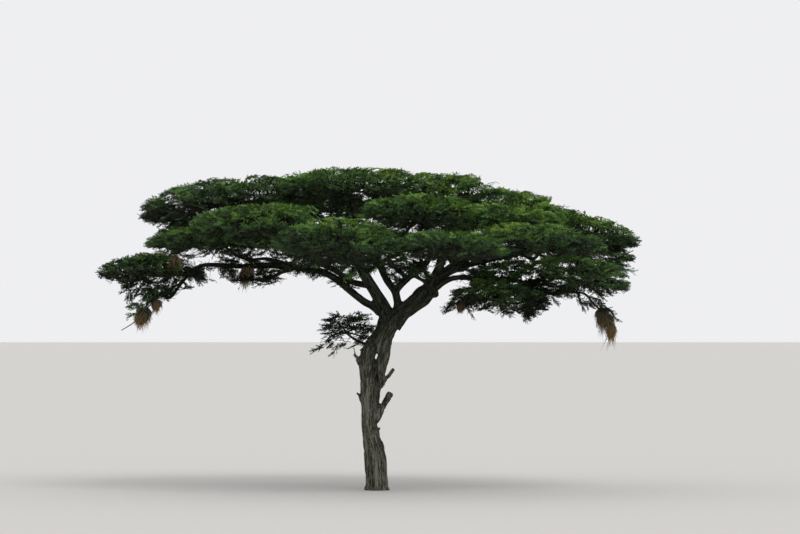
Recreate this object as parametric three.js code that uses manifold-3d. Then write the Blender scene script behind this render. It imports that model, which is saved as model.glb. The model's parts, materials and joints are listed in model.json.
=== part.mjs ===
// Flat-topped umbrella acacia, full size, in millimetres with Z up.
// The origin is the middle of the flat cut under the trunk, at ground level.
// X runs to the right of the tree as seen from the front, and -Y is its front.
import * as THREE from 'three';
import { mergeVertices } from 'three/addons/utils/BufferGeometryUtils.js';
import Module from 'manifold-3d';

const wasm = await Module();
wasm.setup();

const METRE = 1000;
// Clear gap between neighbouring solids
const GAP = 0.3;
// Leaves and twigs keep at least this far from limbs and from other masses
const LEAF_CLEARANCE = 4;
// Points closer than this are one point
const WELD = 0.0001;
// Edges shorter than this are smoothed away after a cut or a union
const SLIVER = 0.05;
const TURN = Math.PI * 2;
const UP = new THREE.Vector3(0, 0, 1);

// Trunk, by height: middle and half width as seen from the front, in metres
const TRUNK_SIDES = 12;
// The flat faces between the trunk's corners need this much more than the gap
const TRUNK_GAP_SHARE = 1.2;
const TRUNK_PROFILE = [
  { height: 0, middle: 0, halfWidth: 0.44 },
  { height: 0.16, middle: 0, halfWidth: 0.395 },
  { height: 0.5, middle: -0.02, halfWidth: 0.385 },
  { height: 1.02, middle: -0.046, halfWidth: 0.386 },
  { height: 1.5, middle: -0.1, halfWidth: 0.37 },
  { height: 1.72, middle: -0.15, halfWidth: 0.34 },
  { height: 2.24, middle: -0.25, halfWidth: 0.275 },
  { height: 2.79, middle: -0.233, halfWidth: 0.3 },
  { height: 3.3, middle: -0.226, halfWidth: 0.342 },
  { height: 3.7, middle: -0.2, halfWidth: 0.395 },
  { height: 4.08, middle: -0.163, halfWidth: 0.459 },
  { height: 4.45, middle: -0.11, halfWidth: 0.51 },
  { height: 4.72, middle: -0.06, halfWidth: 0.52 },
  { height: 5.07, middle: 0.068, halfWidth: 0.456 },
  { height: 5.3, middle: 0.22, halfWidth: 0.4 },
  { height: 5.53, middle: 0.35, halfWidth: 0.37 },
  { height: 5.75, middle: 0.45, halfWidth: 0.44 },
  { height: 5.93, middle: 0.49, halfWidth: 0.41 },
  { height: 6.05, middle: 0.48, halfWidth: 0.2 },
];
// Where the two stems have grown together the trunk is flatter from front to back
const TRUNK_FLATTEST = 4.6;
const TRUNK_FLATTENING = 0.2;
const TRUNK_FLAT_REACH = 1.3;
const FLUTE_COUNT = 5;
const FLUTE_DEPTH = 0.045;
// See-through slit between the two stems
const SLIT_SIDES = 8;
const SLIT = { x: -0.03, z: 4.52, halfWidth: 0.05, halfHeight: 0.14, depth: 1.6, tilt: 0.25 };
// Rotted hollow on the right-hand side, above the shoulder of bark
const HOLLOW = { x: 0.2, y: -0.06, z: 1.82, across: 0.12, deep: 0.2, tall: 0.15 };

// Dead stubs that are one with the trunk, in metres
const STUBS = [
  { path: [[-0.4, 0, 4.05], [-0.62, -0.03, 4.3], [-0.71, -0.03, 4.55]], root: 0.1, tip: 0.055 },
  { path: [[-0.68, -0.03, 4.5], [-0.76, -0.03, 4.7], [-0.81, -0.03, 4.87]], root: 0.05, tip: 0.028 },
  { path: [[-0.68, -0.03, 4.46], [-0.79, -0.03, 4.56], [-0.87, -0.03, 4.62]], root: 0.045, tip: 0.028 },
  { path: [[-0.4, 0.05, 4.6], [-0.52, 0.03, 4.72], [-0.58, 0.03, 4.78]], root: 0.08, tip: 0.04 },
  { path: [[-0.42, 0, 2.9], [-0.57, -0.02, 3.12], [-0.69, -0.02, 3.32]], root: 0.09, tip: 0.045 },
  { path: [[0.02, 0, 3.4], [0.3, -0.03, 3.76], [0.58, -0.04, 4.12]], root: 0.11, tip: 0.06 },
  { path: [[-0.08, -0.04, 2.35], [0.2, -0.08, 2.85], [0.47, -0.1, 3.31]], root: 0.16, tip: 0.1 },
  { path: [[0.02, -0.05, 1.95], [0.09, -0.06, 2.06], [0.12, -0.06, 2.17]], root: 0.045, tip: 0.02 },
];
const STUB_SIDES = 5;

// Limbs that show from the front, by waypoints in metres.
// A limb with a parent starts at a fraction of the parent's length.
const MAIN_LIMBS = [
  {
    name: 'right_main_bough',
    path: [
      [0.5, 0, 5.67], [0.88, 0, 5.99], [1.23, 0, 6.25], [1.53, 0, 6.5], [1.82, 0, 6.83],
      [2.03, -0.05, 7.3], [2.17, -0.1, 7.75], [2.3, 0.1, 8.5], [2.45, 0.3, 9.3],
    ],
    root: 0.335, tip: 0.085, taper: 1.3, sides: 8, rows: 11,
    swelling: { at: 0.33, size: 0.1, reach: 0.09 },
  },
  {
    name: 'left_main_bough',
    path: [
      [0.42, 0, 5.75], [0.23, 0, 6.25], [0.02, -0.1, 6.6], [-0.27, -0.3, 7.04],
      [-0.51, -0.8, 7.5], [-0.75, -1.9, 7.85], [-0.95, -3.6, 8.02],
    ],
    root: 0.235, tip: 0.085, taper: 0.9, sides: 8, rows: 9,
  },
  {
    name: 'middle_left_bough',
    path: [
      [0.75, 0, 6.02], [0.67, 0, 6.5], [0.6, 0.1, 6.76], [0.37, 0.35, 7.08], [0.15, 0.8, 7.52],
      [-0.15, 0.9, 8.3], [-0.7, 0.6, 9.1], [-0.85, 0.5, 9.5],
    ],
    root: 0.15, tip: 0.07, taper: 1, sides: 7, rows: 9,
  },
  {
    name: 'left_low_bough',
    path: [
      [0.24, 0, 5.9], [-0.14, -0.02, 6.24], [-0.43, -0.05, 6.39], [-0.95, -0.1, 6.81],
      [-1.4, -0.15, 7.18], [-2, -0.2, 7.45], [-3.3, -0.3, 7.59], [-4.66, -0.4, 7.6],
      [-5.85, -0.5, 7.63], [-6.4, -0.6, 7.42],
    ],
    root: 0.14, tip: 0.065, taper: 0.8, sides: 7, rows: 12,
  },
  {
    name: 'middle_right_bough',
    path: [
      [0.62, 0.05, 6.76], [0.78, 0, 6.94], [1.16, -0.1, 7.29], [1.6, 0.1, 7.64],
      [1.85, 0.8, 8.1], [1.75, 1.9, 8.7], [1.65, 2.9, 9.25],
    ],
    root: 0.12, tip: 0.07, taper: 1, sides: 7, rows: 9,
  },
  {
    name: 'left_cross_bough',
    path: [
      [-0.2, -0.25, 6.98], [-0.48, 0.02, 6.99], [-0.92, 0.32, 7.11], [-1.5, 0.6, 7.52],
      [-2.3, 0.8, 7.86], [-3.3, 0.75, 8.35], [-4.15, 0.6, 8.98],
    ],
    root: 0.12, tip: 0.075, taper: 1, sides: 7, rows: 9,
  },
  {
    name: 'middle_side_bough',
    path: [
      [1.02, -0.06, 7.17], [0.78, -0.2, 7.43], [0.4, -0.6, 7.75], [0.55, -1.2, 8.2],
      [0.95, -1.8, 8.68],
    ],
    root: 0.08, tip: 0.055, taper: 1, sides: 6, rows: 7,
  },
  {
    name: 'right_upper_bough',
    path: [
      [1.98, 0, 7.2], [2.35, 0.15, 7.5], [2.96, 0.6, 7.86], [3.5, 0.8, 8.2], [4.15, 0.9, 8.72],
    ],
    root: 0.115, tip: 0.07, taper: 1, sides: 7, rows: 7,
  },
  {
    name: 'right_long_bough',
    path: [
      [1.85, 0, 6.95], [2.18, -0.1, 7.23], [2.82, -0.25, 7.56], [3.84, -0.35, 7.82],
      [4.9, -0.3, 8.05], [5.9, -0.1, 8.4],
    ],
    root: 0.13, tip: 0.07, taper: 0.9, sides: 7, rows: 8,
  },
  {
    name: 'right_low_bough',
    path: [
      [1.82, -0.05, 6.72], [2.18, -0.3, 6.99], [2.45, -0.45, 7.14], [3.05, -0.8, 7.22],
      [3.5, -1.2, 7.08],
    ],
    root: 0.12, tip: 0.07, taper: 0.9, sides: 7, rows: 7,
  },
  {
    name: 'right_thin_limb',
    path: [[1.75, -0.05, 7], [1.55, -0.1, 7.13], [1.2, -0.1, 7.3]],
    root: 0.07, tip: 0.06, taper: 1, sides: 6, rows: 3,
  },
  {
    name: 'right_short_limb',
    path: [[1.8, 0, 7.05], [1.68, 0, 7.3], [1.55, 0.05, 7.6]],
    root: 0.08, tip: 0.07, taper: 1, sides: 6, rows: 3,
  },
];
// Lump at the outer corner of the right-hand knuckle
const KNUCKLE = { at: [1.97, 0, 6.68], size: 0.15 };

// Masses of foliage: middle and half sizes in metres, and how they slope down outward.
// Each grows from a bough: its own where parent is given, which starts at that
// fraction of the parent, or else the tip of the named limb.
const MASSES = [
  {
    name: 'left_upper_tier', at: [-5.3, 0.5, 9.78], half: [3.0, 2.7, 0.93], slope: 0.12,
    limb: 'left_cross_bough', arms: 8,
  },
  {
    name: 'left_tip_spray', at: [-7.95, -0.7, 7.43], half: [1.65, 1.6, 0.66], slope: 0.1,
    limb: 'left_low_bough', arms: 5,
  },
  {
    name: 'top_left_tier', at: [-0.95, 0.3, 10.3], half: [2.85, 2.6, 0.78], slope: 0.02,
    limb: 'middle_left_bough', arms: 6,
  },
  {
    name: 'top_right_tier', at: [2.45, 0.6, 10.12], half: [2.25, 2.4, 0.76], slope: 0.05,
    limb: 'right_main_bough', arms: 5,
  },
  {
    name: 'front_left_tier', at: [-1.35, -5.2, 8.24], half: [2.2, 2.3, 0.88], slope: 0.1,
    limb: 'left_main_bough', arms: 6,
  },
  {
    name: 'back_top_tier', at: [1.6, 4.1, 9.6], half: [2.4, 2.3, 0.68], slope: 0.08,
    limb: 'middle_right_bough', arms: 5,
  },
  {
    name: 'front_top_tier', at: [1.5, -2.6, 9.35], half: [2.1, 2.1, 0.68], slope: 0.06,
    limb: 'middle_side_bough', arms: 5,
  },
  {
    name: 'right_top_tier', at: [5, 0.9, 9.52], half: [2.25, 2.4, 0.72], slope: 0.15,
    limb: 'right_upper_bough', arms: 5,
  },
  {
    name: 'right_tip_tier', at: [7.1, 0.2, 8.8], half: [2, 2.2, 0.66], slope: 0.22,
    limb: 'right_long_bough', arms: 5,
  },
  {
    name: 'right_hanging_mass', at: [4.1, -1.8, 6.5], half: [1.85, 1.5, 0.66], slope: 0.14,
    limb: 'right_low_bough', arms: 5,
  },
  {
    name: 'left_middle_tier', at: [-5.2, -1.2, 8.44], half: [2.75, 2.4, 0.68], slope: 0.06,
    parent: 'left_low_bough', from: 0.5, arms: 6,
  },
  {
    name: 'left_front_tier', at: [-4.1, -3.7, 9.0], half: [2.2, 2.2, 0.66], slope: 0.1,
    parent: 'left_main_bough', from: 0.5, arms: 5,
  },
  {
    name: 'left_back_tier', at: [-5.3, 4.1, 9], half: [2.6, 2.4, 0.68], slope: 0.12,
    parent: 'left_cross_bough', from: 0.35, arms: 4,
  },
  {
    name: 'back_left_tier', at: [-2.4, 3.8, 9.7], half: [2.3, 2.2, 0.64], slope: 0.08,
    parent: 'middle_left_bough', from: 0.45, arms: 4,
  },
  {
    name: 'back_tier', at: [-0.6, 6.2, 8.45], half: [2.6, 2, 0.85], slope: 0.1,
    parent: 'middle_left_bough', from: 0.35, arms: 4,
  },
  {
    name: 'back_right_tier', at: [4.1, 5.2, 8.75], half: [2.5, 2.2, 0.66], slope: 0.12,
    parent: 'right_upper_bough', from: 0.25, arms: 4,
  },
  {
    name: 'right_back_tier', at: [6.6, 3.5, 8.5], half: [2.1, 2, 0.6], slope: 0.15,
    parent: 'right_upper_bough', from: 0.5, arms: 4,
  },
  {
    name: 'front_right_tier', at: [2.5, -5.3, 8.15], half: [2, 2.2, 0.55], slope: 0.08,
    parent: 'right_main_bough', from: 0.55, arms: 5,
  },
  {
    name: 'right_crest_tier', at: [4.4, -2.2, 9.1], half: [2, 1.9, 0.62], slope: 0.1,
    parent: 'right_long_bough', from: 0.25, arms: 5,
  },
  {
    name: 'right_front_tier', at: [5.5, -4, 8.35], half: [2.2, 2.1, 0.62], slope: 0.12,
    parent: 'right_long_bough', from: 0.45, arms: 5,
  },
  {
    name: 'right_low_tip_spray', at: [7.0, -1.2, 7.3], half: [1.65, 1.8, 0.74], slope: 0.2,
    parent: 'right_long_bough', from: 0.7, arms: 5,
  },
  {
    name: 'right_under_spray', at: [5.3, -0.1, 7.2], half: [2.5, 1.6, 0.7], slope: 0,
    parent: 'right_low_bough', from: 0.6, arms: 5,
  },
  {
    name: 'left_low_fringe', at: [-4.1, -1, 7.2], half: [1.35, 1, 0.5], slope: 0,
    parent: 'left_low_bough', from: 0.47, arms: 3, open: true,
  },
  {
    name: 'left_hanging_spray', at: [-7.25, -0.6, 6.65], half: [0.85, 0.8, 0.46], slope: 0,
    parent: 'left_low_bough', from: 0.93, arms: 3, open: true,
  },
  {
    name: 'low_left_spray', at: [-1.06, -0.25, 5.45], half: [1.1, 0.85, 0.76], slope: 0,
    stem: [-0.2, -0.1, 4.95], arms: 5, open: true,
  },
];

// Limbs that hold the hanging grass nests
const NEST_LIMBS = [
  {
    name: 'right_hanging_branch', parent: 'right_under_spray_bough', from: 0.7,
    to: [
      [5.6, -0.75, 6.64], [6.6, -0.65, 6.72], [7.0, -0.75, 6.66], [7.3, -0.95, 6.33], [7.73, -1.1, 5.93],
    ],
    root: 0.05, tip: 0.035,
  },
  {
    name: 'left_nest_twig', parent: 'left_hanging_spray_bough', from: 0.6,
    to: [[-7.35, -1.3, 6.5], [-7.75, -1.35, 6.1], [-8.05, -1.3, 5.75], [-8.6, -1.2, 5.42]],
    root: 0.035, tip: 0.014,
  },
];
const NEST_LIMB_SIDES = 5;
const NEST_LIMB_ROWS = 6;
// Nests: middle and half sizes in metres, with straws hanging below
const NESTS = [
  {
    name: 'nest_far_right', at: [7.8, -1.1, 5.62], half: [0.25, 0.24, 0.5],
    straws: 4, strawLength: 0.4,
  },
  {
    name: 'nest_left_low', at: [-7.86, -1.32, 5.9], half: [0.31, 0.3, 0.33],
    straws: 3, strawLength: 0.3,
  },
  {
    name: 'nest_left_low_small', at: [-7.4, -1.3, 6.28], half: [0.19, 0.18, 0.2],
    straws: 4, strawLength: 0.22,
  },
  {
    name: 'nest_left_middle', at: [-6.85, -0.85, 7.67], half: [0.22, 0.2, 0.32],
    straws: 4, strawLength: 0.25,
  },
  {
    name: 'nest_left_bough', at: [-4.42, -0.42, 7.3], half: [0.28, 0.26, 0.32],
    straws: 3, strawLength: 0.3,
  },
];
const NEST_SIDES = 7;
const NEST_ROWS = 4;

// Foliage rule.
// A spray or side twig leaves its twig at a fraction of the twig's length, turned from the
// twig's heading by a share of the spacing of the arms. Its tip lies a share of the way out
// of the mass's space and a share of the way up, with a random part of that lift.
const TIP_SPRAY = { from: 1, turn: 0, share: 0.99, lift: -0.08, spread: 0.1 };
const FLANK_SPRAY = { from: 0.75, turn: -0.33, share: 0.88, lift: 0.4, spread: 0.15 };
const LOW_FLANK_SPRAY = { from: 0.75, turn: -0.33, share: 0.88, lift: -0.4, spread: 0.15 };
const CROWN_SPRAY = { from: 0.6, turn: 0.1, share: 0.64, lift: 0.76, spread: 0.06 };
const SIDE_TWIG = { from: 0.45, turn: 0.52, share: 0.58, lift: -0.1, spread: 0.15 };
const SIDE_TIP_SPRAY = { from: 1, turn: 0, share: 0.98, lift: -0.08, spread: 0.06 };
const UNDER_SPRAY = { from: 0.8, turn: 0.2, share: 0.78, lift: -0.6, spread: 0.06 };
// Arms reach this share of the way out, and their tip sprays go on from there
const ARM_REACH = 0.55;
const ARM_JITTER = 0.3;
// How far arms rise or fall, as a share of the mass's half height
const OPEN_LIFT = 1.1;
const DENSE_LIFT = 0.3;
// Twig radii in metres
const STEM_RADIUS = 0.055;
const ARM_RADIUS = { root: 0.04, tip: 0.018 };
const SIDE_RADIUS = { root: 0.024, tip: 0.014 };
// How much thinner a stem's tip is, and how far along it goes straight on from its bough
const STEM_TAPER = 0.25;
const STEM_BEND = 0.45;
const BOUGH_SIDES = 6;
const STEM_SIDES = 4;
const TWIG_SIDES = 3;
// A spray's width and thickness by its length, where it is widest, and how far its root is sunk
const SPRAY_WIDTH = 0.52;
const SPRAY_THICKNESS = 0.11;
const SPRAY_WIDEST = 0.42;
const SPRAY_SUNK = 12;
const SPRAY_ROLL = 0.7;
// A twig or spray that doesn't fit is tried again at these shares of its length
const TRIES = [1, 0.78, 0.58];
// Tips may stand out of their mass's space by this much of its value
const SPACE_EDGE = 1.02;
// Dense heart of a mass, as a share of its space
const CORE_SHARE = { across: 0.72, tall: 0.8 };
// A core stays this much nearer to its own middle than to any other mass's
const CORE_MARGIN = 1.25;
const CORE_STEP = 0.05;
// The hub where a mass's arms meet, as a share of its half height
const HUB_LIFT = -0.12;
// Boughs by rule end short of a mass's middle and below it, and are arched on the way
const BOUGH_END_SHARE = 0.4;
const BOUGH_END_DROP = 0.92;
const OPEN_END_DROP = 0.1;
const BOUGH_ARCH = 0.09;
const BOUGH_ROOT_SHARE = 0.7;
const BOUGH_ROOT_MOST = 0.1;
const BOUGH_TIP = 0.05;
const BOUGH_LEAST_TAPER = 1.25;
// The arch's two inner waypoints: share of the way, and share of the arch's rise
const BOUGH_WAY = [{ share: 0.3, lift: 0.8 }, { share: 0.65, lift: 1 }];
const BOUGH_LEAST_ROWS = 3;
const BOUGH_ROWS_PER_METRE = 0.95;
// Straws of a nest, in millimetres, and how much wider its bag is at the bottom
const STRAW_RADIUS = { root: 24, tip: 5 };
const STRAW_SPLAY = 0.25;
const STRAW_JITTER = 0.6;
// Straws start this share of the half height below the middle, and hang by a random share
const STRAW_TOP = 0.4;
const STRAW_ACROSS = { least: 0.45, spread: 0.35 };
const STRAW_HANG = { least: 0.6, spread: 0.5 };
const BAG_SPREAD = 0.22;
// Masses above this height have the lit leaf colour
const LIT_ABOVE = 8.3;
const MASS_SEED = 41;
const NEST_SEED = 7;

const BARK = { color: 0x5b5a4e, roughness: 0.95 };
const LIMB_BARK = { color: 0x3b3d34, roughness: 0.95 };
const LEAF_LIT = { color: 0x47612a, roughness: 0.8 };
const LEAF_SHADED = { color: 0x2c3f22, roughness: 0.85 };
const STRAW = { color: 0x7c6238, roughness: 0.9 };

const tree = new THREE.Group();
tree.name = 'umbrella_acacia';

// Helpers

function metres([x, y, z]) {
  return new THREE.Vector3(x, y, z).multiplyScalar(METRE);
}

function seededRandom(seed) {
  let state = seed >>> 0;
  return () => {
    state = (state + 0x6d2b79f5) >>> 0;
    let t = state;
    t = Math.imul(t ^ (t >>> 15), t | 1);
    t ^= t + Math.imul(t ^ (t >>> 7), t | 61);
    return ((t ^ (t >>> 14)) >>> 0) / 4294967296;
  };
}

function solidFrom(geometry) {
  const plain = geometry.clone();
  plain.deleteAttribute('normal');
  plain.deleteAttribute('uv');
  const welded = mergeVertices(plain, WELD);
  const mesh = new wasm.Mesh({
    numProp: 3,
    vertProperties: new Float32Array(welded.attributes.position.array),
    triVerts: new Uint32Array(welded.index.array),
  });
  return new wasm.Manifold(mesh);
}

function addMesh(name, solid, look) {
  const data = solid.getMesh();
  const geometry = new THREE.BufferGeometry();
  geometry.setAttribute('position', new THREE.BufferAttribute(new Float32Array(data.vertProperties), 3));
  geometry.setIndex(new THREE.BufferAttribute(new Uint32Array(data.triVerts), 1));
  geometry.computeVertexNormals();
  const material = new THREE.MeshStandardMaterial({ ...look, metalness: 0, flatShading: true });
  const mesh = new THREE.Mesh(geometry, material);
  mesh.name = name;
  tree.add(mesh);
}

function boxesTouch(a, b, margin) {
  const first = a.boundingBox();
  const second = b.boundingBox();
  return [0, 1, 2].every((axis) => (
    first.min[axis] <= second.max[axis] + margin && second.min[axis] <= first.max[axis] + margin
  ));
}

function largestPiece(solid) {
  const pieces = solid.decompose();
  return pieces.reduce((best, piece) => (piece.volume() > best.volume() ? piece : best));
}

function tidySolid(solid) {
  return largestPiece(solid.simplify(SLIVER));
}

// A tapering tube: a cylinder whose rows of points are moved onto rings along a path.
// Each ring has a centre, a direction and a radius.
function bentCylinder(rings, sides) {
  const rows = rings.length - 1;
  const start = rings[0].direction;
  const guide = Math.abs(start.z) < 0.9 ? UP : new THREE.Vector3(1, 0, 0);
  let across = new THREE.Vector3().crossVectors(start, guide).normalize();
  const frames = rings.map(({ direction }) => {
    across = across.clone().addScaledVector(direction, -across.dot(direction)).normalize();
    return { across, over: new THREE.Vector3().crossVectors(across, direction) };
  });
  const geometry = new THREE.CylinderGeometry(1, 1, 1, sides, rows);
  const position = geometry.attributes.position;
  const corner = new THREE.Vector3();
  for (let i = 0; i < position.count; i += 1) {
    const row = Math.round((position.getY(i) + 0.5) * rows);
    const flat = Math.hypot(position.getX(i), position.getZ(i));
    const turn = Math.atan2(position.getX(i), position.getZ(i)) / TURN;
    const angle = (Math.round(turn * sides + sides) % sides) / sides * TURN;
    const radius = flat > 0.5 ? rings[row].radius : 0;
    corner.copy(rings[row].centre);
    corner.addScaledVector(frames[row].across, Math.sin(angle) * radius);
    corner.addScaledVector(frames[row].over, Math.cos(angle) * radius);
    position.setXYZ(i, corner.x, corner.y, corner.z);
  }
  return geometry;
}

// A limb is one tapering tube along a smooth curve
function makeLimb(spec) {
  const curve = new THREE.CatmullRomCurve3(spec.points, false, 'centripetal');
  return {
    ...spec,
    curve,
    radiusAt(fraction) {
      const taper = (1 - fraction) ** (spec.taper ?? 1);
      let radius = spec.tip + (spec.root - spec.tip) * taper;
      if (spec.swelling) {
        const away = (fraction - spec.swelling.at) / spec.swelling.reach;
        radius += spec.swelling.size * Math.exp(-away * away);
      }
      return radius * METRE;
    },
  };
}

function limbSolid(limb, extra) {
  const grow = extra / Math.cos(Math.PI / limb.sides);
  const rings = [];
  for (let row = 0; row <= limb.rows; row += 1) {
    const fraction = row / limb.rows;
    const direction = limb.curve.getTangentAt(fraction);
    const past = row === limb.rows ? extra : 0;
    rings.push({
      centre: limb.curve.getPointAt(fraction).addScaledVector(direction, past),
      direction,
      radius: limb.radiusAt(fraction) + grow,
    });
  }
  return solidFrom(bentCylinder(rings, limb.sides));
}

// Trunk: level rings, so that its foot is a flat cut on the ground
function trunkSolid(extra) {
  const rows = TRUNK_PROFILE.length - 1;
  const geometry = new THREE.CylinderGeometry(1, 1, 1, TRUNK_SIDES, rows);
  const position = geometry.attributes.position;
  for (let i = 0; i < position.count; i += 1) {
    const row = Math.round((position.getY(i) + 0.5) * rows);
    const { height, middle, halfWidth } = TRUNK_PROFILE[row];
    const flat = Math.hypot(position.getX(i), position.getZ(i));
    const turn = Math.atan2(position.getX(i), position.getZ(i)) / TURN;
    const angle = (Math.round(turn * TRUNK_SIDES + TRUNK_SIDES) % TRUNK_SIDES) / TRUNK_SIDES * TURN;
    const away = (height - TRUNK_FLATTEST) / TRUNK_FLAT_REACH;
    const squash = 1 - TRUNK_FLATTENING * Math.exp(-away * away);
    const flute = 1 + FLUTE_DEPTH * Math.cos(FLUTE_COUNT * angle + height);
    const radius = flat > 0.5 ? halfWidth * METRE * flute + extra : 0;
    const lift = row === rows ? extra : 0;
    position.setXYZ(
      i,
      middle * METRE + Math.sin(angle) * radius,
      -Math.cos(angle) * radius * squash,
      height * METRE + lift,
    );
  }
  return solidFrom(geometry);
}

function stubSolid(stub) {
  const limb = makeLimb({ ...stub, points: stub.path.map(metres), sides: STUB_SIDES, rows: 2 });
  return limbSolid(limb, 0);
}

function slitSolid() {
  const geometry = new THREE.CylinderGeometry(1, 1, SLIT.depth * METRE, SLIT_SIDES, 1);
  geometry.scale(SLIT.halfWidth * METRE, 1, SLIT.halfHeight * METRE);
  geometry.rotateY(SLIT.tilt);
  geometry.translate(SLIT.x * METRE, 0, SLIT.z * METRE);
  return solidFrom(geometry);
}

function hollowSolid() {
  const geometry = new THREE.IcosahedronGeometry(1, 0);
  geometry.scale(HOLLOW.across * METRE, HOLLOW.deep * METRE, HOLLOW.tall * METRE);
  geometry.translate(HOLLOW.x * METRE, HOLLOW.y * METRE, HOLLOW.z * METRE);
  return solidFrom(geometry);
}

// Solids made so far: each with a copy that is larger by the gap, to cut its neighbours with
const made = [];

function keep(name, solid, grown, look) {
  made.push({ name, solid, grown });
  addMesh(name, solid, look);
}

function cutClear(solid, owner) {
  let result = solid;
  for (const other of made) {
    if (other.name !== owner && boxesTouch(result, other.grown, 0)) {
      result = result.subtract(other.grown);
    }
  }
  return tidySolid(result);
}

// Trunk with its stubs, slit and hollow
function buildTrunk() {
  const stubs = wasm.Manifold.union(STUBS.map(stubSolid));
  const grown = trunkSolid(GAP * TRUNK_GAP_SHARE).add(stubs);
  const solid = trunkSolid(0).add(stubs).subtract(slitSolid()).subtract(hollowSolid());
  keep('trunk', tidySolid(solid), grown, BARK);
}

const limbs = new Map();

function buildLimb(spec) {
  const limb = makeLimb(spec);
  let solid = limbSolid(limb, 0);
  let grown = limbSolid(limb, GAP);
  if (spec.knuckle) {
    const lump = (extra) => {
      const geometry = new THREE.OctahedronGeometry(spec.knuckle.size * METRE + extra, 1);
      const at = metres(spec.knuckle.at);
      geometry.translate(at.x, at.y, at.z);
      return solidFrom(geometry);
    };
    solid = solid.add(lump(0));
    grown = grown.add(lump(GAP));
  }
  limbs.set(spec.name, limb);
  keep(spec.name, cutClear(solid), grown, LIMB_BARK);
}

// The space of a mass: a flattened ball that slopes down away from the trunk.
// The value is 0 in its middle and 1 on its surface.
function outwardOf(mass) {
  const [x, y] = mass.at;
  return new THREE.Vector2(x, y).normalize();
}

function spaceValue(mass, p) {
  const out = outwardOf(mass);
  const dx = p.x / METRE - mass.at[0];
  const dy = p.y / METRE - mass.at[1];
  const dz = p.z / METRE - mass.at[2] + mass.slope * (dx * out.x + dy * out.y);
  const [a, b, c] = mass.half;
  return (dx / a) ** 2 + (dy / b) ** 2 + (dz / c) ** 2;
}

// The point of a mass's space at a heading, a share of the way out and a share of the way up
function spacePoint(mass, heading, share, lift) {
  const out = outwardOf(mass);
  const dx = Math.cos(heading) * share * mass.half[0];
  const dy = Math.sin(heading) * share * mass.half[1];
  const dz = lift * mass.half[2] - mass.slope * (dx * out.x + dy * out.y);
  return metres([mass.at[0] + dx, mass.at[1] + dy, mass.at[2] + dz]);
}

function ownSpace(mass, p, margin = 1) {
  const own = spaceValue(mass, p);
  if (own > SPACE_EDGE) return false;
  return MASSES.every((other) => other === mass || spaceValue(other, p) > own * margin);
}

// A bough that carries a mass from its parent, by rule: it rises, then levels out
function boughTo(mass) {
  const parent = limbs.get(mass.parent);
  const start = parent.curve.getPointAt(mass.from);
  const middle = metres(mass.at);
  const inward = start.clone().sub(middle).setZ(0);
  const reach = Math.min(inward.length() * 0.5, BOUGH_END_SHARE * mass.half[0] * METRE);
  const end = middle.clone().add(inward.setLength(reach));
  // It enters a dense mass from below, or from above where its parent is that much higher
  const above = start.z > middle.z + BOUGH_END_DROP * mass.half[2] * METRE;
  end.z -= (mass.open ? OPEN_END_DROP : BOUGH_END_DROP * (above ? -1 : 1)) * mass.half[2] * METRE;
  const span = end.clone().sub(start);
  const rise = span.length() * BOUGH_ARCH;
  const way = BOUGH_WAY.map(({ share, lift }) => (
    start.clone().addScaledVector(span, share).addScaledVector(UP, rise * lift)
  ));
  const root = Math.min(BOUGH_ROOT_MOST, BOUGH_ROOT_SHARE * parent.radiusAt(mass.from) / METRE);
  buildLimb({
    name: `${mass.name}_bough`,
    points: [start, ...way, end],
    root: Math.max(root, BOUGH_TIP * BOUGH_LEAST_TAPER),
    tip: BOUGH_TIP,
    sides: BOUGH_SIDES,
    rows: Math.max(BOUGH_LEAST_ROWS, Math.round(span.length() / METRE * BOUGH_ROWS_PER_METRE)),
  });
}

function hubOf(mass) {
  return spacePoint(mass, 0, 0, HUB_LIFT);
}

// A mass's stem starts one gap beyond its bough's tip, face to face with it
function stemOf(mass) {
  const hub = hubOf(mass);
  let foot;
  let heading;
  if (mass.stem) {
    foot = metres(mass.stem);
    heading = hub.clone().sub(foot).setZ(0).normalize();
  } else {
    const { curve } = limbs.get(mass.limb ?? `${mass.name}_bough`);
    heading = curve.getTangentAt(1);
    foot = curve.getPointAt(1).addScaledVector(heading, GAP);
  }
  const bend = foot.clone().addScaledVector(heading, foot.distanceTo(hub) * STEM_BEND);
  const curve = new THREE.QuadraticBezierCurve3(foot, bend, hub);
  const stem = (extra) => solidFrom(bentCylinder([0, 0.5, 1].map((fraction) => ({
    centre: curve.getPoint(fraction).addScaledVector(heading, fraction === 0 ? -extra : 0),
    direction: fraction === 0 ? heading : curve.getTangent(fraction),
    radius: STEM_RADIUS * METRE * (1 - STEM_TAPER * fraction)
      + extra / Math.cos(Math.PI / STEM_SIDES),
  })), STEM_SIDES));
  return { solid: mass.stem ? cutClear(stem(0)) : stem(0), grown: stem(GAP) };
}

function twigSolid(from, to, radius) {
  const direction = to.clone().sub(from).normalize();
  const at = (fraction) => from.clone().lerp(to, fraction);
  const rings = [0, 1].map((fraction) => ({
    centre: at(fraction),
    direction,
    radius: METRE * (fraction === 0 ? radius.root : radius.tip),
  }));
  return { solid: solidFrom(bentCylinder(rings, TWIG_SIDES)), at };
}

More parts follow.
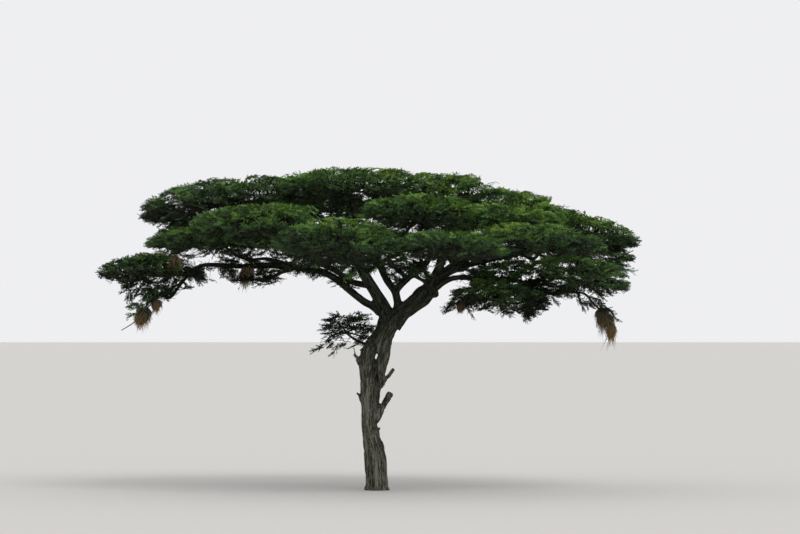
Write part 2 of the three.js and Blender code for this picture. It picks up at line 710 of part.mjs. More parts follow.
// A spray: a thin blade of eight faces from its root to its tip
function spraySolid(root, tip, roll) {
  const along = tip.clone().sub(root);
  const length = along.length();
  along.normalize();
  const side = new THREE.Vector3().crossVectors(along, UP).normalize().applyAxisAngle(along, roll);
  const normal = new THREE.Vector3().crossVectors(side, along);
  const geometry = new THREE.OctahedronGeometry(1, 0);
  const position = geometry.attributes.position;
  const corner = new THREE.Vector3();
  for (let i = 0; i < position.count; i += 1) {
    const x = position.getX(i);
    const reach = Math.abs(x) > 0.5 ? (x + 1) / 2 : SPRAY_WIDEST;
    corner.copy(root).addScaledVector(along, reach * length);
    corner.addScaledVector(normal, position.getY(i) * length * SPRAY_THICKNESS / 2);
    corner.addScaledVector(side, position.getZ(i) * length * SPRAY_WIDTH / 2);
    position.setXYZ(i, corner.x, corner.y, corner.z);
  }
  return { solid: solidFrom(geometry), corners: [tip, ...sideCorners(root, along, side, length)] };
}

function sideCorners(root, along, side, length) {
  const middle = root.clone().addScaledVector(along, length * SPRAY_WIDEST);
  const half = length * SPRAY_WIDTH / 2;
  return [-half, half].map((step) => middle.clone().addScaledVector(side, step));
}

function clearOfOthers(mass, solid) {
  return obstacles.every(({ owner, solid: other }) => (
    owner === mass.name
    || !boxesTouch(solid, other, LEAF_CLEARANCE)
    || solid.minGap(other, LEAF_CLEARANCE * 2) >= LEAF_CLEARANCE
  ));
}

function coreSolid(mass) {
  const geometry = new THREE.OctahedronGeometry(1, 1);
  const position = geometry.attributes.position;
  for (let i = 0; i < position.count; i += 1) {
    const across = Math.hypot(position.getX(i), position.getY(i)) * CORE_SHARE.across;
    const heading = Math.atan2(position.getY(i), position.getX(i));
    const tall = position.getZ(i) * CORE_SHARE.tall;
    let shrink = 1;
    let at = spacePoint(mass, heading, across, tall);
    while (!ownSpace(mass, at, CORE_MARGIN) && shrink > 2 * CORE_STEP) {
      shrink -= CORE_STEP;
      at = spacePoint(mass, heading, across * shrink, tall * shrink);
    }
    position.setXYZ(i, at.x, at.y, at.z);
  }
  return solidFrom(geometry);
}

// Grow a mass: arms spread from the hub of its stem, side twigs from the arms, sprays from both
function growMass(mass, seed) {
  const random = seededRandom(seed);
  const pieces = [stems.get(mass.name)];
  const hub = hubOf(mass);
  const spacing = TURN / mass.arms;
  const firstTurn = random() * TURN;
  const targetOf = (rule, heading) => (
    spacePoint(mass, heading + rule.turn * spacing, rule.share, rule.lift + rule.spread * random())
  );
  const fits = (points, solid) => (
    points.every((p) => ownSpace(mass, p)) && clearOfOthers(mass, solid)
  );
  const addSpray = (twig, heading, rule) => {
    const root = twig.at(rule.from);
    const target = targetOf(rule, heading);
    const roll = (random() - 0.5) * SPRAY_ROLL;
    for (const shrink of TRIES) {
      const tip = root.clone().lerp(target, shrink);
      const sunk = root.clone().addScaledVector(tip.clone().sub(root).normalize(), -SPRAY_SUNK);
      const spray = spraySolid(sunk, tip, roll);
      if (fits(spray.corners, spray.solid)) {
        pieces.push(spray.solid);
        return;
      }
    }
  };
  const addTwig = (from, to, radius) => {
    for (const shrink of TRIES) {
      const end = from.clone().lerp(to, shrink);
      const twig = twigSolid(from, end, radius);
      if (fits([end], twig.solid)) {
        pieces.push(twig.solid);
        return twig;
      }
    }
    return null;
  };
  for (let i = 0; i < mass.arms; i += 1) {
    const even = i % 2 === 0;
    const heading = firstTurn + (i + (random() - 0.5) * ARM_JITTER) * spacing;
    const lift = (random() - 0.5) * (mass.open ? OPEN_LIFT : DENSE_LIFT);
    const arm = addTwig(hub, spacePoint(mass, heading, ARM_REACH, lift), ARM_RADIUS);
    if (!arm) continue;
    addSpray(arm, heading, TIP_SPRAY);
    addSpray(arm, heading, even ? LOW_FLANK_SPRAY : FLANK_SPRAY);
    addSpray(arm, heading, CROWN_SPRAY);
    const side = addTwig(arm.at(SIDE_TWIG.from), targetOf(SIDE_TWIG, heading), SIDE_RADIUS);
    if (!side) continue;
    const sideHeading = heading + SIDE_TWIG.turn * spacing;
    addSpray(side, sideHeading, SIDE_TIP_SPRAY);
    if (even) addSpray(side, sideHeading, UNDER_SPRAY);
  }
  if (cores.has(mass.name)) pieces.push(cores.get(mass.name));
  const solid = tidySolid(wasm.Manifold.union(pieces));
  obstacles.push({ owner: mass.name, solid });
  addMesh(mass.name, solid, mass.at[2] > LIT_ABOVE ? LEAF_LIT : LEAF_SHADED);
}

// A hanging nest: a bag of grass woven round its twig, with loose straws below
function nestSolid(nest, seed, extra) {
  const random = seededRandom(seed);
  const geometry = new THREE.SphereGeometry(1, NEST_SIDES, NEST_ROWS);
  const position = geometry.attributes.position;
  // The bag's flat faces lie inside its corners, so its grown copy is larger by more than the gap
  const grow = extra / Math.cos(Math.PI / NEST_ROWS);
  const half = nest.half.map((size) => size * METRE + grow);
  const middle = metres(nest.at);
  for (let i = 0; i < position.count; i += 1) {
    const height = position.getY(i);
    const bag = 1 - BAG_SPREAD * height;
    position.setXYZ(
      i,
      middle.x + position.getX(i) * bag * half[0],
      middle.y - position.getZ(i) * bag * half[1],
      middle.z + height * half[2],
    );
  }
  const pieces = [solidFrom(geometry)];
  for (let i = 0; i < nest.straws; i += 1) {
    const heading = (i + random() * STRAW_JITTER) / nest.straws * TURN;
    const across = STRAW_ACROSS.least + STRAW_ACROSS.spread * random();
    const top = metres([
      nest.at[0] + Math.cos(heading) * across * nest.half[0],
      nest.at[1] + Math.sin(heading) * across * nest.half[1],
      nest.at[2] - nest.half[2] * STRAW_TOP,
    ]);
    const down = new THREE.Vector3(
      Math.cos(heading) * STRAW_SPLAY,
      Math.sin(heading) * STRAW_SPLAY,
      -1,
    );
    const hang = nest.strawLength * (STRAW_HANG.least + STRAW_HANG.spread * random());
    const length = METRE * (nest.half[2] * STRAW_TOP + hang) + extra;
    const rings = [0, 1].map((fraction) => ({
      centre: top.clone().addScaledVector(down, fraction * length),
      direction: down.clone().normalize(),
      radius: (fraction === 0 ? STRAW_RADIUS.root : STRAW_RADIUS.tip) + 2 * extra,
    }));
    pieces.push(solidFrom(bentCylinder(rings, TWIG_SIDES)));
  }
  return wasm.Manifold.union(pieces);
}

function buildNest(nest, seed) {
  keep(nest.name, cutClear(nestSolid(nest, seed, 0)), nestSolid(nest, seed, GAP), STRAW);
}

buildTrunk();
for (const spec of MAIN_LIMBS) {
  buildLimb({
    ...spec,
    points: spec.path.map(metres),
    knuckle: spec.swelling ? KNUCKLE : null,
  });
}
for (const mass of MASSES) {
  if (mass.parent) boughTo(mass);
}
for (const spec of NEST_LIMBS) {
  const parent = limbs.get(spec.parent);
  const points = [parent.curve.getPointAt(spec.from), ...spec.to.map(metres)];
  buildLimb({ ...spec, points, sides: NEST_LIMB_SIDES, rows: NEST_LIMB_ROWS });
}
const stems = new Map();
for (const mass of MASSES) {
  const { solid, grown } = stemOf(mass);
  stems.set(mass.name, solid);
  made.push({ name: mass.name, solid, grown });
}
NESTS.forEach((nest, i) => buildNest(nest, NEST_SEED + i));

const cores = new Map();
for (const mass of MASSES) {
  if (!mass.open) cores.set(mass.name, cutClear(coreSolid(mass), mass.name));
}

const obstacles = made.map(({ name, solid }) => ({ owner: name, solid }));
cores.forEach((solid, owner) => obstacles.push({ owner, solid }));
MASSES.forEach((mass, i) => growMass(mass, MASS_SEED + i));

export default tree;
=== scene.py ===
import json
import math

import bpy
import numpy as np
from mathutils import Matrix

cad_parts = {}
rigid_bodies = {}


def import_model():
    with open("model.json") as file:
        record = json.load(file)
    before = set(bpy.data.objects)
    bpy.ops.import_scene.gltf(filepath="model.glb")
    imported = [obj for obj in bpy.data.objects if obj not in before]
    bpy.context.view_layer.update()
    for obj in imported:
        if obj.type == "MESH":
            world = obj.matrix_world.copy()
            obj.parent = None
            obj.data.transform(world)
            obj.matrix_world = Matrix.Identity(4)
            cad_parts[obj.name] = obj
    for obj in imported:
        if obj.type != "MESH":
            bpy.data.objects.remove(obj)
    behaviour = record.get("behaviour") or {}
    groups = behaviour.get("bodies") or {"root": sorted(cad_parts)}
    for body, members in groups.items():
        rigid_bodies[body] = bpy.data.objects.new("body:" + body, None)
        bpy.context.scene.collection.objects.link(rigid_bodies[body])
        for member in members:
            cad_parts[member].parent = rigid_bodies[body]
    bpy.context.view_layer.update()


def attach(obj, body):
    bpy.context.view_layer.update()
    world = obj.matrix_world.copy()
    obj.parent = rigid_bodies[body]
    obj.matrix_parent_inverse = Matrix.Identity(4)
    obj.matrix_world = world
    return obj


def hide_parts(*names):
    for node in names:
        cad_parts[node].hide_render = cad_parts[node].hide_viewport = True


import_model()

TURN = 2 * math.pi
UP = np.array([0.0, 0.0, 1.0])
# Rise of a direction from which a level guide takes the place of an upright one
STEEP = 0.85
# Points in each span of a limb's smooth line, and the flat left at a ball's poles
SPAN_POINTS = 30
POLE = 0.02
# A limb's direction at its end is read from this share of the way along it
NEAR_END = 0.99
# Rise of a limb's root from which the frames along it start from a level guide
STEEP_ROOT = 0.9
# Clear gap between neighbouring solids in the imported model
GAP = 0.0003

# Trunk, by height: middle and half width as seen from the front
TRUNK_PROFILE = [
    (0, 0, 0.44),
    (0.16, 0, 0.395),
    (0.5, -0.02, 0.385),
    (1.02, -0.046, 0.386),
    (1.5, -0.1, 0.37),
    (1.72, -0.15, 0.34),
    (2.24, -0.25, 0.275),
    (2.79, -0.233, 0.3),
    (3.3, -0.226, 0.342),
    (3.7, -0.2, 0.395),
    (4.08, -0.163, 0.459),
    (4.45, -0.11, 0.51),
    (4.72, -0.06, 0.52),
    (5.07, 0.068, 0.456),
    (5.3, 0.22, 0.4),
    (5.53, 0.35, 0.37),
    (5.75, 0.45, 0.44),
    (5.93, 0.49, 0.41),
    (6.05, 0.48, 0.2),
]
# The trunk is flattened from front to back about this height, and fluted all round
TRUNK_FLATTEST = 4.6
TRUNK_FLATTENING = 0.2
TRUNK_FLAT_REACH = 1.3
FLUTE_COUNT = 5
FLUTE_DEPTH = 0.045
TRUNK_ROWS = 150
TRUNK_SIDES = 56
# Slit right through, between the two stems
SLIT = {"x": -0.03, "z": 4.52, "half_width": 0.045, "half_height": 0.17, "depth": 1.6, "tilt": 0.33}
# Grooves, where the two stems have grown together and where bark is lost at the side: the
# middle, how far it moves right for each metre down, its reach up and down, width and depth
GROOVES = [
    {"x": -0.02, "z": 3.95, "lean": 0.06, "reach": 1.0, "width": 0.07, "depth": 0.2},
    {"x": 0.17, "z": 1.6, "lean": 0.265, "reach": 0.5, "width": 0.06, "depth": 0.08},
]
# Most that a groove may take of the trunk's half depth
GROOVE_MOST = 0.6
# Painted shade in a groove: the bark's share of its colour there
GROOVE_SHADE = (0.5, 0.45, 0.42)
# Rotted hollow
HOLLOW = {"at": (0.2, -0.06, 1.82), "half": (0.12, 0.2, 0.15)}

# Dead stubs that are one with the trunk: root and tip radius, and the points each runs through
STUBS = [
    (0.1, 0.055, [(-0.4, 0, 4.05), (-0.62, -0.03, 4.3), (-0.71, -0.03, 4.55)]),
    (0.05, 0.028, [(-0.68, -0.03, 4.5), (-0.76, -0.03, 4.7), (-0.81, -0.03, 4.87)]),
    (0.045, 0.028, [(-0.68, -0.03, 4.46), (-0.79, -0.03, 4.56), (-0.87, -0.03, 4.62)]),
    (0.08, 0.04, [(-0.4, 0.05, 4.6), (-0.52, 0.03, 4.72), (-0.58, 0.03, 4.78)]),
    (0.09, 0.045, [(-0.42, 0, 2.9), (-0.57, -0.02, 3.12), (-0.69, -0.02, 3.32)]),
    (0.11, 0.06, [(0.02, 0, 3.4), (0.3, -0.03, 3.76), (0.58, -0.04, 4.12)]),
    (0.16, 0.1, [(-0.08, -0.04, 2.35), (0.2, -0.08, 2.85), (0.47, -0.1, 3.31)]),
    (0.045, 0.02, [(0.02, -0.05, 1.95), (0.09, -0.06, 2.06), (0.12, -0.06, 2.17)]),
]
# The stub whose end shows brown, torn wood
BROKEN_STUB = 5
# Main limbs: root and tip radius, how fast each tapers, and the points its middle runs through
MAIN_LIMBS = {
    "right_main_bough": (0.335, 0.085, 1.3, [
        (0.49, 0, 5.68), (0.86, 0, 6.03), (1.2, 0, 6.29), (1.5, 0, 6.55), (1.8, 0, 6.85),
        (2.03, -0.05, 7.3), (2.17, -0.1, 7.75), (2.3, 0.1, 8.5), (2.45, 0.3, 9.3),
    ]),
    "left_main_bough": (0.235, 0.085, 0.9, [
        (0.42, 0, 5.75), (0.23, 0, 6.25), (0.02, -0.1, 6.6), (-0.27, -0.3, 7.04),
        (-0.51, -0.8, 7.5), (-0.75, -1.9, 7.85), (-0.95, -3.6, 8.02),
    ]),
    "middle_left_bough": (0.15, 0.07, 1, [
        (0.75, 0, 6.02), (0.67, 0, 6.5), (0.6, 0.1, 6.76), (0.37, 0.35, 7.08), (0.15, 0.8, 7.52),
        (-0.15, 0.9, 8.3), (-0.7, 0.6, 9.1), (-0.85, 0.5, 9.5),
    ]),
    "left_low_bough": (0.14, 0.065, 0.8, [
        (0.24, 0, 5.9), (-0.14, -0.02, 6.24), (-0.43, -0.05, 6.39), (-0.95, -0.1, 6.81),
        (-1.4, -0.15, 7.18), (-2, -0.2, 7.45), (-3.3, -0.3, 7.59), (-4.66, -0.4, 7.6),
        (-5.85, -0.5, 7.63), (-6.4, -0.6, 7.42),
    ]),
    "middle_right_bough": (0.12, 0.07, 1, [
        (0.62, 0.05, 6.76), (0.78, 0, 6.94), (1.16, -0.1, 7.29), (1.6, 0.1, 7.64),
        (1.85, 0.8, 8.1), (1.75, 1.9, 8.7), (1.65, 2.9, 9.25),
    ]),
    "left_cross_bough": (0.12, 0.075, 1, [
        (-0.2, -0.25, 6.98), (-0.48, 0.02, 6.99), (-0.92, 0.32, 7.11), (-1.5, 0.6, 7.52),
        (-2.3, 0.8, 7.86), (-3.3, 0.75, 8.35), (-4.15, 0.6, 8.98),
    ]),
    "middle_side_bough": (0.08, 0.055, 1, [
        (1.02, -0.06, 7.17), (0.78, -0.2, 7.43), (0.4, -0.6, 7.75), (0.55, -1.2, 8.2),
        (0.95, -1.8, 8.68),
    ]),
    "right_upper_bough": (0.115, 0.07, 1, [
        (1.98, 0, 7.2), (2.35, 0.15, 7.5), (2.96, 0.6, 7.86), (3.5, 0.8, 8.2), (4.15, 0.9, 8.72),
    ]),
    "right_long_bough": (0.13, 0.07, 0.9, [
        (1.85, 0, 6.95), (2.18, -0.1, 7.23), (2.82, -0.25, 7.56), (3.84, -0.35, 7.82),
        (4.9, -0.3, 8.05), (5.9, -0.1, 8.4),
    ]),
    "right_low_bough": (0.12, 0.07, 0.9, [
        (1.82, -0.05, 6.72), (2.18, -0.3, 6.99), (2.45, -0.45, 7.14), (3.05, -0.8, 7.22),
        (3.5, -1.2, 7.08),
    ]),
    "right_thin_limb": (0.07, 0.06, 1, [(1.75, -0.05, 7), (1.55, -0.1, 7.13), (1.2, -0.1, 7.3)]),
    "right_short_limb": (0.08, 0.07, 1, [(1.8, 0, 7.05), (1.68, 0, 7.3), (1.55, 0.05, 7.6)]),
}
SWELLINGS = {"right_main_bough": {"at": 0.33, "size": 0.1, "reach": 0.09}}
KNUCKLE = {"at": (1.97, 0, 6.68), "half": (0.15, 0.15, 0.15)}

# Masses of foliage: middle, half sizes, slope down outward, number of arms, and what each
# grows from, which is the tip of a main limb, a bough of its own or a stem of its own
TIP_MASSES = [
    ("left_upper_tier", (-5.3, 0.5, 9.78), (3.0, 2.7, 0.93), 0.12, 8, "left_cross_bough"),
    ("left_tip_spray", (-7.95, -0.7, 7.43), (1.65, 1.6, 0.66), 0.1, 5, "left_low_bough"),
    ("top_left_tier", (-0.95, 0.3, 10.3), (2.85, 2.6, 0.78), 0.02, 6, "middle_left_bough"),
    ("top_right_tier", (2.45, 0.6, 10.12), (2.25, 2.4, 0.76), 0.05, 5, "right_main_bough"),
    ("front_left_tier", (-1.35, -5.2, 8.24), (2.2, 2.3, 0.88), 0.1, 6, "left_main_bough"),
    ("back_top_tier", (1.6, 4.1, 9.6), (2.4, 2.3, 0.68), 0.08, 5, "middle_right_bough"),
    ("front_top_tier", (1.5, -2.6, 9.35), (2.1, 2.1, 0.68), 0.06, 5, "middle_side_bough"),
    ("right_top_tier", (5, 0.9, 9.52), (2.25, 2.4, 0.72), 0.15, 5, "right_upper_bough"),
    ("right_tip_tier", (7.1, 0.2, 8.8), (2, 2.2, 0.66), 0.22, 5, "right_long_bough"),
    ("right_hanging_mass", (4.1, -1.8, 6.5), (1.85, 1.5, 0.66), 0.14, 5, "right_low_bough"),
]
BOUGH_MASSES = [
    ("left_middle_tier", (-5.2, -1.2, 8.44), (2.75, 2.4, 0.68), 0.06, 6, "left_low_bough", 0.5),
    ("left_front_tier", (-4.1, -3.7, 9.0), (2.2, 2.2, 0.66), 0.1, 5, "left_main_bough", 0.5),
    ("left_back_tier", (-5.3, 4.1, 9), (2.6, 2.4, 0.68), 0.12, 4, "left_cross_bough", 0.35),
    ("back_left_tier", (-2.4, 3.8, 9.7), (2.3, 2.2, 0.64), 0.08, 4, "middle_left_bough", 0.45),
    ("back_tier", (-0.6, 6.2, 8.45), (2.6, 2, 0.85), 0.1, 4, "middle_left_bough", 0.35),
    ("back_right_tier", (4.1, 5.2, 8.75), (2.5, 2.2, 0.66), 0.12, 4, "right_upper_bough", 0.25),
    ("right_back_tier", (6.6, 3.5, 8.5), (2.1, 2, 0.6), 0.15, 4, "right_upper_bough", 0.5),
    ("front_right_tier", (2.5, -5.3, 8.15), (2, 2.2, 0.55), 0.08, 5, "right_main_bough", 0.55),
    ("right_crest_tier", (4.4, -2.2, 9.1), (2, 1.9, 0.62), 0.1, 5, "right_long_bough", 0.25),
    ("right_front_tier", (5.5, -4, 8.35), (2.2, 2.1, 0.62), 0.12, 5, "right_long_bough", 0.45),
    ("right_low_tip_spray", (7.0, -1.2, 7.3), (1.65, 1.8, 0.74), 0.2, 5, "right_long_bough", 0.7),
    ("right_under_spray", (5.3, -0.1, 7.2), (2.5, 1.6, 0.7), 0, 5, "right_low_bough", 0.6),
    ("left_low_fringe", (-4.1, -1, 7.2), (1.35, 1, 0.5), 0, 3, "left_low_bough", 0.47),
    ("left_hanging_spray", (-7.25, -0.6, 6.65), (0.85, 0.8, 0.46), 0, 3, "left_low_bough", 0.93),
]
STEM_MASSES = [
    ("low_left_spray", (-1.06, -0.25, 5.45), (1.1, 0.85, 0.76), 0, 5, (-0.2, -0.1, 4.95)),
]
MASSES = []
for table, roots in ((TIP_MASSES, "limb"), (BOUGH_MASSES, "parent from"), (STEM_MASSES, "stem")):
    columns = ("name", "at", "half", "slope", "arms", *roots.split())
    MASSES += [dict(zip(columns, row)) for row in table]
# Open masses have no dense core: how low their fans go, in their half heights
OPEN_LOWEST = {"left_low_fringe": -0.4, "left_hanging_spray": -0.6, "low_left_spray": -0.8}

# Limbs that hold nests: what each leaves and how far along it, root and tip radius, and points
NEST_LIMBS = {
    "right_hanging_branch": ("right_under_spray_bough", 0.7, 0.05, 0.035, [
        (5.6, -0.75, 6.64), (6.6, -0.65, 6.72), (7.0, -0.75, 6.66), (7.3, -0.95, 6.33),
        (7.73, -1.1, 5.93),
    ]),
    "left_nest_twig": ("left_hanging_spray_bough", 0.6, 0.035, 0.014, [
        (-7.35, -1.3, 6.5), (-7.75, -1.35, 6.1), (-8.05, -1.3, 5.75), (-8.6, -1.2, 5.42),
    ]),
}
# Grass of a nest, low, middle and high, and the heights between them in its half heights
FRESH_GRASS = {"kinds": ("rust", "tan", "dark"), "levels": (-0.1, 0.2)}
# Nests in the crown's shade get grass one step paler, as painted light
PAINTED_LIGHT_GRASS = {"kinds": ("tan", "pale", "tan"), "levels": (-0.2, 1.0)}
HIGH_PAINTED_LIGHT_GRASS = {"kinds": ("tan", "pale", "tan"), "levels": (-0.3, 1.3)}
# Nests: the node each stands for, middle, half sizes, how far its straws hang, the share of its
# width and height in front of which nothing grows, and its grass
NESTS = [
    ("nest_far_right", (7.8, -1.1, 5.62), (0.25, 0.24, 0.5), 0.4, 0.85, FRESH_GRASS),
    ("nest_left_low", (-7.86, -1.32, 5.9), (0.31, 0.3, 0.33), 0.3, 0.6, FRESH_GRASS),
    ("nest_left_low_small", (-7.4, -1.3, 6.28), (0.19, 0.18, 0.2), 0.22, 0.9, FRESH_GRASS),
    ("nest_left_middle", (-6.85, -0.85, 7.67), (0.22, 0.2, 0.32), 0.25, 0.75, PAINTED_LIGHT_GRASS),
    ("nest_left_bough", (-4.42, -0.42, 7.3), (0.28, 0.26, 0.32), 0.3, 1.1, HIGH_PAINTED_LIGHT_GRASS),
    # One more small nest in the hanging mass, drawn as part of the one before
    ("nest_left_bough", (2.83, -1.95, 6.22), (0.16, 0.15, 0.2), 0.16, 0.9, FRESH_GRASS),
]

# Bark is shaded by the crown between these heights, down to these shares of its colour
SHADE_FROM = 4.2
SHADE_TO = 6.05
BARK_SHADE = (0.33, 0.37, 0.33)
BROKEN_WOOD = (0.16, 0.075, 0.03)

# Foliage rule, the same as for the solids
ARM_REACH = 0.55
ARM_JITTER = 0.3
OPEN_LIFT = 1.1
DENSE_LIFT = 0.3
SIDE_FROM = 0.45
SIDE_TURN = 0.52
SIDE_SHARE = 0.58
SIDE_LIFT = -0.1
SIDE_SPREAD = 0.15
STEM_RADIUS = 0.055
ARM_RADIUS = (0.04, 0.018)
SIDE_RADIUS = (0.024, 0.014)
HUB_LIFT = -0.12
BOUGH_END_SHARE = 0.4
BOUGH_END_DROP = 0.92
OPEN_END_DROP = 0.1
BOUGH_ARCH = 0.09
# A bough's end lies at most this share of the way back from its mass's middle, and it bends at
# these shares of its span, where it has risen by these shares of its arch
BOUGH_INWARD = 0.5
BOUGH_BENDS = ((0.3, 0.8), (0.65, 1.0))
# Radius of a bough's root, as a share of its parent's, at most, and at least in tips
BOUGH_ROOT_SHARE = 0.7
BOUGH_ROOT_MOST = 0.1
BOUGH_ROOT_LEAST = 1.25
BOUGH_TIP = 0.05
MASS_SEED = 41
# Seeds of the finer growth
MASS_DRAWS = 900
LIMB_DRAWS = 300
TUFT_DRAWS = 500
LEAF_DRAWS = 77
PATCH_SEED = 71

# Finer growth: flat fans of leafy shoots through each mass's space, in layers.
# A layer has its share of the fans, its level and the spread of its level in the space,
# its shoots for each fan, and how far its fans tilt up.
FANS_PER_AREA = 2.15
FAN_LAYERS = [
    (1.22, 0.68, 0.24, 16, 0.02),
    (0.5, 0.15, 0.3, 14, -0.12),
    (0.65, -0.55, 0.2, 13, -0.3),
]
# Small masses have more fans for their size: the product of half sizes below which they do
SMALL_MASS = 5.5
SMALL_MASS_GAIN = 0.8
# Share of the way out that fans reach, and how far they stray from it
FAN_REACH = 0.86
FAN_STRAY = 0.03
# Fans round the rim: spacing, shoots, shares of the way out, levels, tilt and stray in heading
RIM_SPACING = 0.3
RIM_SHOOTS = 15
RIM_SHARE = (0.74, 0.88)
RIM_LEVEL = (-0.4, 0.35)
RIM_TILT = 0.35
RIM_STRAY = 0.05
# Open masses: fans, shoots, highest level, tilt, and the length of a fan and a shoot
OPEN_FANS_PER_AREA = 17
OPEN_SHOOTS = 10
OPEN_HIGHEST = 0.75
OPEN_TILT = 0.5
OPEN_FAN = 0.7
OPEN_SHOOT = 0.62
FAN_LENGTH = (0.6, 1.05)
FAN_TILT_SPREAD = 0.12
# A fan lies this much of its length behind its middle, and its line bows down by this much
FAN_BACK = 0.5
FAN_BOW = 0.12
# Fans turn by this much at the rim, and by more for each share of the way in from here
FAN_TURN = 0.4
INNER_TURN = 1.3
INNER_SHARE = 0.72
# Shoots turn this far from the fan's line at its root, and less towards its tip
SHOOT_TURN = 0.95
SHOOT_TURN_SPREAD = (0.4, 1.2)
SHOOT_TURN_LOSS = 0.7
SHOOT_LIFT = 0.1
SHOOT_LIFT_SPREAD = 0.3
SHOOT_LENGTH = (0.3, 0.5)
SHOOT_LENGTH_LOSS = 0.3
# A shoot that leaves its mass's space is tried once more at this share of its length
SHORT_SHOOT = 0.6
SHOOT_TWIG = 0.008
# Nothing grows in front of a nest, or up to this far behind its middle
NEST_BEHIND = 0.1
# Share that is left of a fan's twig where it would grow out of its mass
SHORT_FAN = 0.5
# Shares of a shoot's length where its tip is tested, and where its twig ends
SHOOT_TESTED = 0.85
SHOOT_TWIG_END = 0.95
# How far fans, shoots and twigs reach in their mass's own space
SPACE_LIMIT = 0.95
FAN_LIMIT = SPACE_LIMIT * 0.9
# How far their roots and their tips may reach into a neighbouring mass's space
ROOT_SHARE = 0.9
SPACE_SHARE = 0.75
# Leaves along a shoot: pairs, where the first starts and how far they run, length and width
# as shares of the shoot and of the leaf, how they spread, roll and fold, and the end leaf
LEAF_PAIRS = 5
LEAF_FIRST = 0.04
LEAF_RUN = 0.84
LEAF_LENGTH = 0.42
LEAF_LENGTH_LOSS = 0.45
LEAF_WIDTH = 0.33
LEAF_WIDEST = 0.48
LEAF_SPREAD = math.radians(27)
LEAF_ROLL = 0.9
LEAF_SPREAD_RANGE = (0.7, 1.3)
LEAF_LENGTH_RANGE = (0.8, 1.2)
LEAF_FOLD = 0.5
END_LEAF = 0.22
SHOOT_SHAPES = 12
# Bare twigs below each mass: for each square metre, how far out, lowest and highest, length,
# stray of their heading, their tilt with its stray, and their width
BARE_TWIGS = 20
BARE_REACH = 0.85
BARE_LEVEL = (-0.85, -0.1)
BARE_LENGTH = (0.25, 0.7)
BARE_TURN = 1.1
BARE_TILT = (-0.25, 0.55)
THIN_TWIG = 0.012
# Arms of a mass: points along each, sides of their tubes, how they bow, and twigs' own bow
STEM_ROWS = 7
STEM_BEND = 0.45
STEM_TAPER = 0.25
ARM_ROWS = 7
ARM_SIDES = 5
ARM_BOW = 0.05
TWIG_BOW = 0.06
TWIG_SAG = 0.04
TWIG_WIDTH = 0.02
TWIG_TAPER = (1, 0.7, 0.4)

# How brightly lit a shoot's leaves are painted, by its height in its mass, by its height on its fan
# (and the height that counts as one), by the mass's own height above or below a level, and a little by
# its side
HEIGHT_LIGHT = 0.68
FAN_LIGHT = 0.2
FAN_HEIGHT = 0.3
TREE_LIGHT = 0.12
TREE_LEVEL = 8.6
SIDE_LIGHT = 0.02
# The painted light also runs in patches, wider than they are high, and strays by fan and by shoot
PATCH_LIGHT = 0.9
PATCH_SCALE = (0.75, 0.75, 1.9)
FAN_STRAY_LIGHT = 0.17
SHOOT_STRAY_LIGHT = 0.15
# Masses whose painted light is brighter or darker than their height makes it
MASS_LIGHT = {
    "left_upper_tier": -0.2,
    "top_right_tier": 0.1,
    "left_back_tier": -0.2,
    "left_middle_tier": 0.15,
    "left_front_tier": 0.12,
    "left_low_fringe": -0.35,
    "left_hanging_spray": -0.35,
    "low_left_spray": -0.35,
}
# Painted light at which a shoot's leaves are shaded, lit or brightest lit, and not in deepest shade
LIGHT_STEPS = (-0.3, 0.16, 0.62)

# Small fans on twigs of their own: shoots of each, how thick the twig is, how far its heading
# and tilt stray, the length of a fan and of a shoot, and how far their painted light strays
SMALL_FAN_SHOOTS = 8
LIMB_FAN = (0.014, 0.5, 0.3, (0.3, 0.55), (0.22, 0.38), 0.22)
TUFT_FAN = (0.012, 0.7, 0.25, (0.2, 0.45), (0.2, 0.36), 0.2)
# Leafy twigs straight from the limbs: the limb, from and to along it, twigs a metre,
# how far they stand off, how far they hang, and how brightly lit they are painted
LIMB_SPRAYS = [
    ("left_low_bough", 0.42, 0.82, 7, 0.34, 0.02, -0.4),
    ("left_low_bough", 0.46, 0.8, 14, 0.3, -0.25, -0.4),
    ("left_low_bough", 0.84, 1.0, 22, 0.42, 0.0, -0.5),
    ("left_low_bough", 0.2, 0.42, 15, 0.24, -0.14, -0.5),
    ("left_low_bough", 0.37, 0.53, 16, 0.12, 0.04, -0.5),
    ("right_long_bough", 0.3, 0.7, 10, 0.2, -0.1, -0.5),
    ("right_hanging_branch", 0.12, 0.7, 14, 0.22, -0.05, -0.5),
    ("left_cross_bough", 0.3, 0.85, 9, 0.38, -0.05, -0.5),
    ("left_main_bough", 0.5, 0.85, 8, 0.38, 0.05, -0.3),
    ("left_main_bough", 0.5, 0.64, 12, 0.22, 0.3, 0.3),
    ("left_main_bough", 0.55, 0.9, 22, 1.0, -0.45, 0.35),
    ("middle_side_bough", 0.5, 0.95, 10, 0.6, -0.2, 0.2),
    ("middle_left_bough", 0.45, 0.8, 8, 0.34, 0.0, -0.4),
    ("middle_side_bough", 0.2, 0.95, 8, 0.34, 0.0, -0.2),
    ("middle_right_bough", 0.38, 0.8, 8, 0.34, 0.0, -0.3),
    ("right_upper_bough", 0.35, 1.0, 9, 0.36, 0.0, -0.5),
    ("right_long_bough", 0.32, 1.0, 9, 0.4, -0.05, -0.5),
    ("right_low_bough", 0.55, 1.0, 11, 0.34, -0.05, -0.6),
]
# The same for each bough by rule
RULE_BOUGH_SPRAYS = (0.3, 1.0, 4, 0.36, 0.0, -0.4)
# Shares of their distance that single twigs stand off, how flat they lie, and their fans' tilt
SPRAY_STAND = (0.5, 1)
SPRAY_FLATNESS = 0.7
SPRAY_TILT = -0.15
# Twigs of a tuft lie this share of its spread about its middle. They start from the arms or from
# points along the limbs: between these shares, and so many on each.
TUFT_CLOSENESS = 0.6
HOLD_SPAN = (0.2, 1, 24)
LEFT = math.pi
RIGHT = 0.0
